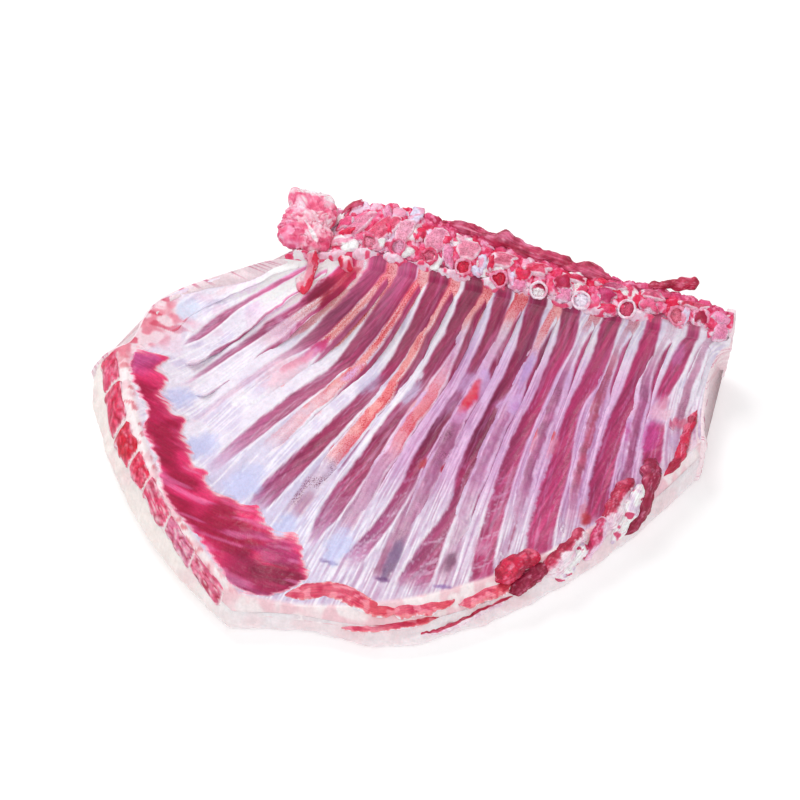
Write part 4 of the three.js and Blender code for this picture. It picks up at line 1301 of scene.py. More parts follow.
def paint_cut(distance, up, top, bottom):
    spot = np.stack([distance, up], -1)
    deep = top - up + 0.8 * lumpy(spot, (14, 9), 39)
    low = up - bottom + 0.6 * lumpy(spot, (11, 9), 40)
    thick = np.maximum(top - bottom, 1)
    tone = lay((186, 52, 84), (150, 30, 62), patches(spot, (16, 8), 0.4, 0.7, 43))
    tone = lay(tone, (214, 104, 130), 0.6 * step(0.1, 0.7, lumpy(spot, (9, 2.2), 42)))
    tone = lay(tone, (244, 222, 228), 0.85 * step(0.45, 0.62, lumpy(spot, (12, 3), 45)))
    seam = np.exp(-((deep - mix(5.5, 9, step(20, 40, thick))) / 0.9) ** 2)
    tone = lay(tone, (246, 230, 234), 0.95 * seam)
    # painted light: near the ridge the cut face is painted near white, to lift the shade that lies on it
    tone = lay(tone, (252, 236, 240), 0.88 * step(80, 40, distance))
    # pale fat along the top and bottom edges, painted lighter than it is against the shade on this tilted
    # face
    tone = lay(tone, (252, 230, 236), step(5.5, 3.5, low) + step(3.4, 2, deep))
    streak = step(0.35, 0.6, lumpy(spot, (20, 0.8), 46)) * step(4, 2.6, deep)
    return lay(tone, (206, 88, 132), 0.7 * streak)


cut_ends = [make_cut_end("cut_end_front", FRONT_END, -1), make_cut_end("cut_end_hind", HIND_END, 1)]

# %% [markdown]
# ## The sawn backbone
# The saw went lengthwise through the backbone, so the ridge shows bone cut open: red
# and spongy inside, with a thin pale rim, and small joints of bluish cartilage. Pinkish
# fat fills the space between and hangs over the lip in scallops. The fat is one lumpy
# loft. The vertebrae are pebbles pressed into it, and the round rib heads, which repeat
# along the lip, are set out by Geometry Nodes.

# %% Chunks: a skin broken into domes of many sizes
CHUNK_ACROSS, CHUNK_ALONG = 11.0, 11.5
CHUNK_COLOURS = paint((236, 170, 188), (222, 112, 144), (206, 40, 76), (248, 226, 232),
                      (228, 206, 226), (216, 78, 112))
CHUNK_SHARES = [0.2, 0.24, 0.18, 0.14, 0.06, 0.18]


def chunks_of(xy, seed=60):
    """The dome height, 0 in the creases to 1, and the number of the chunk each point lies in."""
    chance = np.random.default_rng(seed)
    x, y = xy[..., 0], xy[..., 1]
    columns = np.arange(x.min() - 10, x.max() + 10, CHUNK_ACROSS)
    rows = np.arange(y.min() - 10, y.max() + 10, CHUNK_ALONG)
    centres = np.array([(a, b) for a in columns for b in rows])
    centres = centres + chance.uniform(-4.4, 4.4, centres.shape)
    sizes = chance.uniform(0.75, 1.35, len(centres))
    wx = x + 1.8 * lumpy(xy, 5, 61)
    wy = y + 1.8 * rough(x / 5, y / 5, 5.0, seed=61)
    nearest, second = np.full(x.shape, 99.0), np.full(x.shape, 99.0)
    which = np.zeros(x.shape, int)
    for number, ((a, b), size) in enumerate(zip(centres, sizes)):
        away = np.hypot(wx - a, wy - b) / size
        closer = away < nearest
        second = np.where(closer, nearest, np.minimum(second, away))
        which = np.where(closer, number, which)
        nearest = np.where(closer, away, nearest)
    return np.clip((second - nearest) / 5.5, 0, 1) ** 0.6, which


def chunk_colours(which, seed=62):
    picks = np.random.default_rng(seed).choice(len(CHUNK_COLOURS), which.max() + 1, p=CHUNK_SHARES)
    return CHUNK_COLOURS[picks[which]]


# %% Fat and trimmings on the ridge
RIDGE_COLUMNS = 640
LIP_ROWS = 24
TOP_ROWS = 74
BACK_ROWS = 14
LIP_RETREAT = [[0.5, 0], [1.6, 0.5], [2.4, 4], [3.4, 7.5], [4.2, 7], [5.2, 6], [6, 5], [7.3, 4.5], [8.5, 4],
               [9.6, 2.5], [10.8, 3.5], [12, 5], [13, 3]]


def pitch(place):
    """Millimetres between two ribs on the backbone."""
    return RIB_PITCH + 2 * PITCH_GROWTH * (place - 1)


def make_ridge():
    places = np.linspace(FRONT_END + 0.03, HIND_END - 0.03, RIDGE_COLUMNS)
    lip, depth = guide(LIP_HEIGHT, places), guide(RIDGE_DEPTH, places)
    back = lip + guide(RIDGE_LIFT, places)
    wave = cloud(places * 1.9, 0.5, seed=63) + 0.4 * cloud(places * 4.7, 1.5, seed=64)
    hang = 3 * (wave - 0.5) + 1.8 * np.cos(2 * math.pi * (places - 0.08)) * step(2, 3, places)
    retreat = guide(LIP_RETREAT, places)
    stops = []
    for i in range(LIP_ROWS):
        turn = math.pi * (0.92 - 0.95 * i / (LIP_ROWS - 1))
        stops.append((-2.0 - retreat + (3.8 + 0.6 * hang) * np.sin(turn),
                      lip - 3.5 + 0.3 * retreat - (5.2 + hang) * math.cos(turn)))
    for i in range(TOP_ROWS):
        distance = mix(-2.6 - retreat, 1.5 - depth, i / (TOP_ROWS - 1))
        stops.append((distance, surface_height(places, distance) - 1.4))
    for i in range(1, BACK_ROWS):
        share = i / (BACK_ROWS - 1)
        fall = mix(back - 1.4, 0.66 * lip, share**1.5)
        stops.append((1.5 - depth - 2.2 * math.sin(0.5 * math.pi * share), fall))
    stops += [(7 - depth, 0.66 * lip), (9 - depth, back - 12), (-11 + 0 * lip, lip - 12)]
    across, up = stacked(stops)
    points = raised(places[:, None], across, up)
    thin_across, thin_up = inset(across, up, 1.0)
    dome, which = chunks_of(np.stack([points[..., 0], points[..., 1] - 0.8 * up], -1))
    on_top = step(LIP_ROWS - 9, LIP_ROWS, np.arange(across.shape[1]))[None]
    lumps = (2.8 * dome - 1.3) * mix(0.25, 1, on_top) + mix(2, 1.4, on_top) * lumpy(points, 8, 65)
    lumps = lumps + 0.45 * lumpy(points, 2.2, 66)
    lumps[:, -3:] = 0
    across = across + (across - thin_across) * lumps
    up = up + (up - thin_up) * lumps
    all_places, all_across, points, quads, caps = closed_grid(places, across, up, 0.02, 0.8)
    dome, which = (np.pad(part, ((1, 1), (0, 0)), mode="edge") for part in (dome, which))
    tone, amount = paint_ridge(all_places, all_across, points, dome, which)
    fleck = (paint(200, 40, 70), amount)
    return add_piece("ridge_fat", points, tone, FAT, "fat", ["flesh"], quads, caps, fleck=fleck)


def paint_ridge(place, distance, points, dome, which):
    tone = lay(chunk_colours(which), (246, 212, 222), 0.45 * patches(points, 3, 0.56, 0.74, 67))
    tone = lay(tone, (206, 46, 80), 0.75 * patches(points, 3.6, 0.56, 0.7, 68))
    below = distance + guide(LIP_RETREAT, place)
    lip_fat = step(-5, -2, below + 3.5 * lumpy(points[..., :2], 7, 74)) * step(1.2, 1.8, place)
    pale = lay((247, 216, 224), (214, 56, 88), 0.85 * patches(points, 4.5, 0.48, 0.64, 69))
    tone = lay(tone, pale, 0.85 * lip_fat)
    behind = step(0.66, 0.84, -distance / guide(RIDGE_DEPTH, place)) * step(4, 5, place)
    meat_red = lay((208, 92, 130), (170, 40, 76), patches(points, (4, 4, 6), 0.45, 0.7, 70))
    meat_red = lay(meat_red, (234, 168, 188), 0.7 * patches(points, (2.5, 2.5, 4), 0.55, 0.7, 71))
    tone = lay(tone, meat_red, 0.9 * behind)
    # painted shade: the creases between the chunks are darkened to red
    tone = lay(tone, (196, 60, 92), 0.5 * step(0.35, 0, dome) * (1 - 0.8 * lip_fat))
    return richer(tone, 0.18, 1.1), 0.5 * patches(points, 6, 0.45, 0.65, 72) * (1 - lip_fat)


ridge = make_ridge()

# %% Pebbles: rounded blocks pressed onto the surface
def unit_ball(subdivisions):
    """Points and triangles of an even ball."""
    ball = bpy.data.meshes.new("ball")
    shape = bmesh.new()
    bmesh.ops.create_icosphere(shape, subdivisions=subdivisions, radius=1)
    shape.to_mesh(ball)
    shape.free()
    points = fetch(ball.vertices, "co", 3)
    corners = fetch(ball.loops, "vertex_index", kind=np.int32).reshape(-1, 3)
    bpy.data.meshes.remove(ball)
    return points / np.linalg.norm(points, axis=1, keepdims=True), corners


BALL, BALL_FACES = unit_ball(4)


def block(power, ball=BALL):
    """The ball swelled towards a box. A higher power gives sharper edges."""
    swell = np.sum(np.abs(ball) ** power, 1) ** (-1 / power)
    return ball * swell[:, None]


def add_pebble(name, points, tone, pores):
    """A block of sawn bone in place of the solid of its name."""
    return add_piece(name + "_sawn", points, tone, SPONGE, "sawn_bone", [name],
                     triangles=BALL_FACES, fleck=pores)


def from_middle(shape):
    return np.maximum(np.abs(shape[:, 0]), np.abs(shape[:, 1]))


def paint_bone(shape, points, inside, rim_width, seed):
    """Red sponge with darker pores, inside a thin pale rim."""
    edge = from_middle(shape) + 0.08 * lumpy(points, 3, seed)
    tone = lay(inside, (240, 186, 198), 0.35 * patches(points[:, :2], 3.5, 0.4, 0.7, seed + 2))
    tone = lay(tone, inside * 0.75, 0.5 * patches(points, 2, 0.55, 0.7, seed + 1))
    return richer(lay(tone, (246, 206, 216), step(1 - rim_width, 1 - rim_width * 0.4, edge)), 0.15, 1.06)


# %% Vertebrae
VERTEBRA_COLOURS = paint(   # from the second to the twelfth
    (228, 136, 166), (222, 84, 112), (238, 168, 190), (234, 152, 178), (232, 146, 168), (226, 120, 142),
    (216, 52, 84), (204, 46, 80), (184, 70, 108), (214, 92, 122), (200, 48, 76))
VERTEBRA_SHIFT = [[2, 0.25], [3, 0.1], [4, -0.2], [5, -0.2], [7, -0.1], [9, -0.15], [12, 0.0]]
VERTEBRA_NEAR = 15.0
VERTEBRA_HALF = 0.33
PORE_RED = paint(170, 30, 62)


def make_vertebra(number):
    """The front ones are pink with long leaning spines, and the hind ones are red and square."""
    place = number + 0.45 + guide(VERTEBRA_SHIFT, number)
    lean = mix(0.8, 0.1, step(2.5, 5, place))
    shape = block(2.9)
    along = 0.5 + 0.5 * shape[:, 1]
    distance = -mix(VERTEBRA_NEAR, guide(VERTEBRA_END, place) - 1, along)
    uneven = 1 + 0.34 * rough(shape[:, 0] * 1.2 + number * 7.0, shape[:, 1] * 1.2, seed=81)
    across = place + shape[:, 0] * VERTEBRA_HALF * uneven + lean * (along - 0.5)
    points = on_surface(across, distance)
    dip = step(1, 0.62, from_middle(shape))
    points[:, 2] += shape[:, 2] * 3.4 - 0.5 - 0.8 * dip * (shape[:, 2] > 0)
    knobs = rough(points[:, 0] / 3.2, points[:, 1] / 3.2, number * 2.0, seed=82)
    points[:, 2] += 0.5 * knobs * (shape[:, 2] > -0.2)
    tone = paint_bone(shape, points, VERTEBRA_COLOURS[number - 2], 0.3, 83)
    pores = (PORE_RED, 0.5 * step(0.85, 0.65, from_middle(shape)))
    return add_pebble(f"vertebra_{number:02d}", points, tone, pores)


vertebrae = [make_vertebra(number) for number in range(2, RIBS)]

# %% Rib heads, set out by Geometry Nodes
HEADS = 9
HEAD_TILT = 0.6


def head_tree(material):
    """A ring of hard bone round a plug of marrow, at every point, each a little different."""
    tree = new_tree("sawn rib heads", {"Ring": 0.16, "Marrow": 0.86, "Tilt": HEAD_TILT, "Seed": 4})
    add = partial(add_node, tree)
    given = add("NodeGroupInput").outputs
    circle, profile = (
        add("GeometryNodeCurvePrimitiveCircle", {"Resolution": sides, "Radius": radius})
        for sides, radius in ((56, 0.9), (14, given["Ring"])))
    ring = add("GeometryNodeCurveToMesh", {"Curve": circle, "Profile Curve": profile})
    plug = add("GeometryNodeMeshIcoSphere", {"Subdivisions": 5})
    size = add("ShaderNodeCombineXYZ", {"X": given["Marrow"], "Y": given["Marrow"], "Z": 0.55})
    shift = add("ShaderNodeCombineXYZ", {"Z": -0.48})
    flat = add("GeometryNodeTransform", {"Geometry": plug, "Scale": size, "Translation": shift})
    join = add("GeometryNodeJoinGeometry", {"Geometry": store(tree, ring, "ring", 1.0)})
    give(tree, join, {"Geometry": store(tree, flat, "ring", 0.0)})

    twist = add("FunctionNodeRandomValue", {2: -0.25, 3: 0.25, "Seed": given["Seed"]}, data_type="FLOAT")
    tilt = add("ShaderNodeCombineXYZ", {"X": given["Tilt"], "Y": twist.outputs[1]})
    scatter = add("GeometryNodeInstanceOnPoints", {
        "Points": given["Geometry"], "Instance": join, "Rotation": tilt,
        "Scale": stored(tree, "radius")})
    finish_tree(tree, scatter, material)
    return tree


HEAD_DISTANCE = [-12, -12, -10, -8, -5, -3.5, -3, -3.5, -6]
HEAD_COLOURS = paint((232, 150, 170), (228, 170, 196), (230, 120, 144), (214, 44, 74), (206, 36, 66),
                     (176, 44, 76), (232, 222, 238), (206, 84, 112), (228, 128, 146))
CRESCENT_HEAD, WHITE_HEAD = 5, 6
RINGED = [0.1, 0.2, 0.2, 0.35, 0.35, 1, 1, 1, 0.6]   # how clearly each shows a ring of hard bone


def make_heads():
    index = np.arange(HEADS)
    places = FIRST_HEAD + 0.95 * index + 0.02 * index * index
    centres = on_surface(places, HEAD_DISTANCE, mix(3, 1.5, step(3, 5, index)))
    radii = mix(5.4, 7.2, places / RIBS)
    mesh = lines_mesh("head points", [(metres(centres), {"radius": radii / 1000})])
    sizes = {"Ring": 0.15, "Marrow": 0.9, "Tilt": HEAD_TILT, "Seed": 4}
    heads = grow("rib_heads_sawn", mesh, head_tree(SPONGE), sizes)
    co = millimetres(heads.data)
    ring = read(heads.data, "ring")
    which = np.argmin(np.linalg.norm(co[:, None, :2] - centres[None, :, :2], axis=2), axis=1)
    clear = np.array(RINGED)[which]
    x, y = co[:, 0], co[:, 1]
    co[:, 2] += 0.7 * lumpy(co[:, :2], 3, 86) + 0.3 * lumpy(co[:, :2], 1.1, 87)
    co[:, 0] += mix(1.6, 0.5, clear) * rough(x / 5, y / 5, which * 3, seed=88)
    co[:, 1] += mix(1.6, 0.5, clear) * rough(x / 5, y / 5, which * 7, seed=89)
    inside = HEAD_COLOURS[which]
    tone = lay(inside, inside * 0.75, 0.5 * patches(co, 2, 0.55, 0.7, 90))
    crescent = step(0.4, 0.6, cloud(x / 5, y / 5, which, seed=91)) * (which == CRESCENT_HEAD)
    tone = lay(tone, (238, 232, 240), crescent)
    rim = mix(CHUNK_COLOURS[which % 3], paint(244, 218, 228), clear[:, None])
    rim = lay(rim, (226, 150, 172), 0.6 * patches(co, 3, 0.5, 0.75, 94))
    rim = lay(rim, (214, 60, 92), 0.7 * (1 - clear) * patches(co[:, :2], 4, 0.45, 0.7, 92))
    tone = lay(tone, rim, step(0.3, 0.7, ring + 0.1 * rough(x, y, seed=93)))
    set_positions(heads.data, co)
    nodes = [f"rib_head_{number + 4:02d}" for number in range(HEADS)]
    dots = (paint(160, 26, 56), 0.5 * (1 - ring) * (which != WHITE_HEAD))
    return dress(heads, richer(tone, 0.15, 1.05), SPONGE, "sawn_bone", nodes, fleck=dots)


heads = make_heads()

# %% Scraps of bone, cartilage and meat along the ridge
PINK_SCRAP, RED_SCRAP, DARK_SCRAP = (234, 152, 176), (216, 46, 78), (170, 34, 68)
BLUE_SCRAP, WHITE_SCRAP = (218, 212, 236), (249, 236, 240)
SCRAPS = [   # rib place, distance, half across, half along, lean in radians, colour
    (2.15, -33, 6.5, 6.5, 0, (226, 100, 130)), (1.55, -52, 6.5, 4.5, 0.3, PINK_SCRAP),
    (2.35, -50, 8, 5, 0.5, DARK_SCRAP), (1.75, -42, 7.5, 6, 0.2, WHITE_SCRAP),
    (2.4, -21, 6, 3.5, 0.2, RED_SCRAP), (2.15, -14, 7, 4.5, 0.1, WHITE_SCRAP),
    (3.05, -18, 6.5, 4.2, 0, (230, 110, 134)), (2.6, -10, 7, 4, -0.1, WHITE_SCRAP),
    (3.5, -14, 6, 4.5, 0.2, WHITE_SCRAP), (3.55, -44, 3.6, 8, 0.35, PINK_SCRAP),
    (3.95, -46, 5, 6.5, 0.3, BLUE_SCRAP), (4.45, -46, 5.5, 6.5, 0.2, BLUE_SCRAP),
    (3.72, -28, 3, 6.5, 0.3, RED_SCRAP), (4.75, -29, 3.8, 6.5, 0.1, RED_SCRAP),
    (4.4, -13, 5.5, 5.5, 0.2, WHITE_SCRAP), (5.35, -10, 5, 5.5, 0.3, WHITE_SCRAP),
    (5.75, -15, 4.5, 8, 0, PINK_SCRAP), (5.6, -27, 4, 5, 0, RED_SCRAP),
    (6.05, -33, 6.5, 3.2, -0.2, WHITE_SCRAP), (6.75, -16, 3.6, 6.5, 0.1, BLUE_SCRAP),
    (6.6, -9, 4, 4, 0, BLUE_SCRAP), (7, -16, 2.6, 5.5, 0, RED_SCRAP),
    (7.62, -10, 3, 6.5, 0.35, BLUE_SCRAP), (7.95, -13, 5.5, 5, 0.1, RED_SCRAP),
    (7.85, -4, 5.5, 3.5, 0, PINK_SCRAP), (9.05, -14, 6, 5, 0.2, DARK_SCRAP),
    (9.15, -5, 5, 4, 0, PINK_SCRAP), (9.35, -22, 6, 3.5, 0.2, WHITE_SCRAP),
    (10.1, -20, 5.5, 3.5, -0.3, RED_SCRAP), (10.25, -10, 8, 5.5, 0.2, (178, 50, 92)),
    (10.3, -2, 7, 2.6, 0, RED_SCRAP), (11.4, -10, 6.5, 4.5, 0, (222, 100, 124)),
    (12.28, -9, 3.2, 5, 0, BLUE_SCRAP), (12.65, -9, 4.5, 4.5, 0, DARK_SCRAP),
    (13.15, -11, 5.5, 4, 0, PINK_SCRAP), (13.2, -2, 5.5, 4.5, 0, PINK_SCRAP),
]


def make_scraps():
    points, tones, faces, amounts = [], [], [], []
    ball, ball_faces = unit_ball(3)
    shape = block(2.5, ball)
    for index, (place, distance, half_across, half_along, lean, colour) in enumerate(SCRAPS):
        colour = paint(*colour)
        a, b = shape[:, 0] * half_across, shape[:, 1] * half_along
        across, along = a * math.cos(lean) - b * math.sin(lean), a * math.sin(lean) + b * math.cos(lean)
        wavy = 1 + 0.4 * rough(shape[:, 0] * 1.3 + index * 5.0, shape[:, 1] * 1.3, seed=94)
        spot = on_surface(place + across * wavy / pitch(place), distance - along * wavy)
        fatty = colour[1] > 0.8
        spot[:, 2] += shape[:, 2] * (2.2 if fatty else 3.0) - 0.2
        knobs = rough(spot[:, 0] / 2.8, spot[:, 1] / 2.8, index * 3.0, seed=95)
        spot[:, 2] += 0.9 * knobs * (shape[:, 2] > -0.2)
        tone = paint_bone(shape, spot, colour, 0.2, 96)
        if fatty:
            tone = lay(colour, (236, 150, 172), 0.8 * patches(spot[:, :2], 3.4, 0.42, 0.66, 97))
        for collected, part in ((points, spot), (tones, tone), (faces, ball_faces + len(ball) * index),
                                (amounts, np.full(len(ball), 0.0 if fatty else 0.35))):
            collected.append(part)
    points, tones, faces, amounts = (np.concatenate(parts) for parts in (points, tones, faces, amounts))
    return add_piece("ridge_scraps", points, richer(tones, 0.15, 1.05), SPONGE, "sawn_bone",
                     triangles=faces, fleck=(PORE_RED, amounts))


scraps = make_scraps()

# %% [markdown]
# ## The sawn breastbone
# The breastbone is a chain of small bones with white cartilage between them. Each is a
# pebble stretched between two rib places, so the chain bends with the edge of the rack.

# %% The segments of the breastbone
STERNUM_CUTS = [[0.65, 1.75], [1.9, 2.72], [2.9, 3.42], [3.58, 3.95], [4.1, 4.62], [4.76, 5.22], [5.35, 5.8]]
STERNEBRA_COLOURS = paint((222, 62, 98), (220, 54, 86), (216, 22, 52), (222, 50, 78), (222, 86, 116),
                          (212, 116, 146), (216, 104, 130))
STERNEBRA_HALF = [[0.6, 7], [1.7, 7.5], [2.8, 7.5], [3.5, 7], [4.2, 6], [5, 5], [6, 4.5]]


def make_sternebra(index, start, stop):
    shape = block(9)
    place = mix(start - 0.07, stop + 0.07, 0.5 + 0.5 * shape[:, 0])
    narrow = 1 - 0.05 * np.abs(shape[:, 0]) ** 4
    uneven = 1 + 0.16 * rough(shape[:, 0] * 2 + index * 5.0, shape[:, 1], seed=98)
    side = shape[:, 1] * guide(STERNEBRA_HALF, place) * narrow * uneven
    points = on_surface(place, length_at(place) + guide(STERNEBRA_OUT, place) + side)
    points[:, 2] += shape[:, 2] * 4.2 - 2.4
    sponge = lumpy(points, (1.6, 1.6, 2), 99)
    points[:, 2] += (0.5 * sponge + 0.7 * lumpy(points[:, :2], 6, 100)) * (shape[:, 2] > -0.2)
    tone = paint_bone(shape, points, STERNEBRA_COLOURS[index], 0.04, 97)
    tone = lay(tone, (250, 220, 226), 0.8 * step(0.15, 0.7, sponge) * mix(0.5, 1, step(3.5, 4.6, place)))
    tone = lay(tone, (168, 22, 52), 0.7 * step(0.15, 0.7, -sponge))
    tone = lay(tone, (252, 238, 240), step(0.93, 0.99, np.abs(shape[:, 0])))
    pores = (paint(176, 20, 52), 0.8 * step(0.95, 0.8, np.abs(shape).max(1)))
    return add_pebble(f"sternebra_{index + 1}", points, tone, pores)


sternebrae = [make_sternebra(index, start, stop) for index, (start, stop) in enumerate(STERNUM_CUTS)]

# %% [markdown]
# ## The muscle on the breastbone
# A flat dark-red muscle crosses the inner ends of the ribs. Its fibres run out in
# tongues that thin to nothing, with a warm red edge that is painted light, as if light
# shone through them.
# The patch is a closed skin that is thickest in its middle, and its paint fades into
# that of the membrane round it.

# %% The breast muscle
BREAST_COLUMNS = 260
BREAST_ROWS = 84
BREAST_FROM, BREAST_TO = 0.85, 6.85
BREAST_FADE = 6.0   # the patch reaches this far past the red, so that its edge can fade
BREAST_INNER = [
    [0.85, 150], [1.1, 149], [1.3, 145], [1.6, 136], [1.75, 133], [1.95, 147], [2.2, 150], [2.45, 157],
    [2.65, 168], [3.0, 171], [3.2, 176], [3.4, 171], [3.6, 184], [3.8, 190], [4.1, 197], [4.3, 205],
    [4.45, 202], [4.7, 212], [4.9, 216], [5.1, 212], [5.3, 214], [5.5, 209], [5.7, 218], [5.95, 226],
    [6.2, 222], [6.4, 226], [6.6, 238], [6.85, 252],
]
BREAST_OUTER = [
    [0.85, 151], [1.1, 153], [1.5, 162], [1.95, 172], [2.3, 178], [2.95, 192], [3.2, 205], [3.6, 215],
    [4.0, 227], [4.3, 240], [4.7, 250], [5.2, 258], [5.6, 270], [5.95, 281], [6.3, 281], [6.55, 274],
    [6.85, 254],
]


def make_breast_muscle():
    places = np.linspace(BREAST_FROM, BREAST_TO, BREAST_COLUMNS)
    inner = guide(BREAST_INNER, places) - BREAST_FADE
    outer = guide(BREAST_OUTER, places) + 2 + 1.2 * rough(places * 6, 0.2, seed=103)
    outer = np.maximum(outer, inner + 1.0)
    ended = np.clip(np.minimum(places - BREAST_FROM, BREAST_TO - places) / 0.35, 0, 1)
    thick = np.sqrt(np.clip(ended, 0.02, 1)) * np.clip((outer - inner) / 16, 0.1, 1)
    stops = []
    for i in range(BREAST_ROWS):
        share = i / (BREAST_ROWS - 1)
        distance = mix(inner, outer, share)
        dome = step(0, 0.4, share) * step(0, 0.2, 1 - share)
        stops.append((distance, inner_height(places, distance) - 0.3 + 2.4 * dome * thick))
    for share in (0.97, 0.66, 0.33, 0.03):
        distance = mix(inner, outer, share)
        stops.append((distance, inner_height(places, distance) - 2.6))
    across, up = stacked(stops)
    top = slice(0, BREAST_ROWS)
    share = np.linspace(0, 1, BREAST_ROWS)
    xy = plan(places[:, None], across[:, top])
    calm = np.clip(np.minimum(share / 0.2, (1 - share) / 0.1), 0, 1)
    grainy = 0.34 * lumpy(xy, (18, 4.5), 104) + 0.12 * lumpy(xy, (6, 1.6), 105)
    up[:, top] += grainy * calm + relief(places[:, None], across[:, top], xy)
    all_places, all_across, points, quads, caps = closed_grid(places, across, up, 0.01, 0.3)
    tone, fibre = paint_breast(all_places, all_across, points[..., :2])
    x, y = points[..., 0], points[..., 1]
    grain = np.stack([y + 0.25 * x, x - 0.25 * y], -1)
    return add_piece("muscle_on_breast", points, tone, MUSCLE, "red_meat", ["breast_muscle"], quads, caps,
                     grain=grain, fibre=fibre)


def paint_breast(place, distance, xy):
    """Crimson that fades through salmon into the paint of the inner side. The salmon edge is painted light,
    shining through the thin tongues.
    """
    from_edge = distance - guide(BREAST_INNER, place)
    from_rim = guide(BREAST_OUTER, place) - distance
    run = lumpy(xy, (16, 3.4), 107)
    fine = lumpy(xy, (10, 1.2), 108)
    broad = cloud(xy[..., 0] / 17, xy[..., 1] / 11, seed=109)
    tone = lay((206, 46, 98), (152, 14, 60), step(0.42, 0.78, broad + 0.1 * step(6, 26, from_edge)))
    tone = lay(tone, (222, 84, 122), 0.45 * step(0.1, 0.7, run) * step(22, 6, from_edge))
    tone = lay(tone, (186, 92, 148), 0.7 * patches(xy, (16, 8), 0.45, 0.7, 110) * step(2.4, 1.5, place))
    tone = lay(tone, (160, 60, 112), 0.6 * patches(xy, (20, 6), 0.5, 0.75, 119) * step(5.2, 5.9, place))
    tone = lay(tone, (112, 24, 60), 0.6 * step(5.4, 5.9, place) * step(244, 258, distance + 6 * run))
    tone = lay(tone, (232, 176, 206), 0.4 * patches(xy, (15, 3.2), 0.6, 0.84, 120) * step(2.6, 4.2, place))
    near = from_edge + 3.0 * run + 1.8 * fine
    # painted light: a warm red and then salmon edge, where the thin tongues seem to let light through
    tone = lay(tone, (214, 84, 116), 0.55 * step(10, 3, near))
    tone = lay(tone, (238, 176, 176), 0.85 * step(4.5, 0.6, near))
    outward = from_rim + 1.5 * run + 1.2 * fine
    tone = lay(tone, (236, 176, 186), 0.8 * step(3.5, 1.5, outward))
    tone = richer(tone, 0.1, 1.12)
    under = paint_inside(place, distance, xy)[0]
    fade = np.maximum(step(2.4, -2.2, near), step(1.6, 0, outward))
    return shade(lay(tone, under, fade), 0.06 * fine), 0.6 * step(0, 5, near)


breast_muscle = make_breast_muscle()

# %% [markdown]
# ## Muscle ends, rolls and flaps
# The loin muscle, the layers of the cut flank and the flaps of skirt are all soft bars
# that follow a path, so the same tree that swept the ribs makes them. Afterwards every
# bar is pushed in and out along its normals, because meat that was cut by hand is never
# as even as a swept shape.

# %% Soft bars along a path
FRONT_RIGHT = np.array([0.5, -0.8, -0.3])   # the side on which the rolls carry their fat
BAR_TREE = sweep_tree(MUSCLE)


def smooth_path(stops, count):
    """A smooth line through [rib place, distance, lift] stops, in millimetres."""
    corners = on_surface(*np.array(stops, float).T)
    travel = np.concatenate([[0], np.cumsum(np.linalg.norm(np.diff(corners, axis=0), axis=1))])
    at = np.linspace(0, travel[-1], count)
    return np.stack([guide(np.stack([travel, corners[:, axis]], 1), at) for axis in range(3)], -1)


def rounded(along, run, least):
    """A width from 0 to 1 that is round over a run at both ends."""
    return np.sqrt(np.clip(np.minimum(along, 1 - along) / run, least, 1))


def blunt(along, ends=0.45):
    return (ends + (1 - ends) * np.sin(np.pi * along) ** 0.6) * rounded(along, 0.12, 0.03)


def make_bar(name, line, half, flatness, painter, material=MUSCLE, slot="red_meat", lumps=1.0, nodes=None):
    """line is in millimetres, half is the half width along it, painter colours it."""
    mesh = lines_mesh(name + " line", [(metres(line), {"half_width": half / 1000})])
    piece = grow(name + "_meat", mesh, BAR_TREE, {"Sides": 44, "Thickness": flatness, "Sink": 0.0})
    co = millimetres(piece.data)
    along, side = read(piece.data, "along"), read(piece.data, "across", 3)
    shares = np.linspace(0, 1, len(line))
    out = co - np.stack([np.interp(along, shares, line[:, axis]) for axis in range(3)], -1)
    side[:, 2] = (out @ FRONT_RIGHT) / np.maximum(np.linalg.norm(out, axis=1), 1e-6)
    size = half.max()
    x, y, z = (part / size * 0.7 for part in co.T)
    push = 0.4 * size * rough(x, y, z, seed=111, octaves=2)
    groove = np.abs(rough(side[:, 0] * 1.3 + 3 * along, along * 2, side[:, 1] * 1.3, 116))
    push -= 0.12 * size * step(0.2, 0, groove)
    push += 0.35 * lumpy(co, 3.5, 112) + 0.12 * lumpy(co, 1.4, 113)
    co = co + fetch(piece.data.vertices, "normal", 3) * (push * lumps)[:, None]
    # painted shade: each bar darkens to red in its grooves
    tone = lay(painter(along, side, co), (150, 40, 70), 0.2 * lumps * step(0.1, 0, groove))
    set_positions(piece.data, co)
    grain = np.stack([np.arctan2(side[:, 1], side[:, 0]) * size, along * len(line)], -1)
    replaced = [name] if nodes is None else nodes
    return dress(piece, richer(tone, 0.15, 1.05), material, slot, replaced, grain=grain)


# %% Paints for the bars
def red_paint(base, pale, seed):
    """A painter of streaky red muscle."""
    def paint_red(along, side, co):
        streak = rough(side[:, 0] * 2.5 + side[:, 1] * 2, along * 5, seed=seed)
        tone = lay(base, pale, 0.7 * step(0.25, 0.7, streak))
        threads = rough(side[:, 0] * 6 + 0.3 * co[:, 1], along * 6, side[:, 1] * 6, seed + 3)
        tone = lay(tone, (238, 196, 206), 0.5 * step(0.35, 0.8, threads))
        tone = lay(tone, (142, 24, 50), 0.6 * step(0.1, 0.6, lumpy(co, 8, seed + 1)))
        return shade(tone, 0.06 * lumpy(co, 1.6, seed + 2))
    return paint_red


paint_plain_red = red_paint((186, 52, 78), (228, 130, 150), 114)
paint_bright = red_paint((204, 40, 72), (236, 140, 156), 126)
paint_dark = red_paint((146, 34, 64), (190, 84, 110), 127)


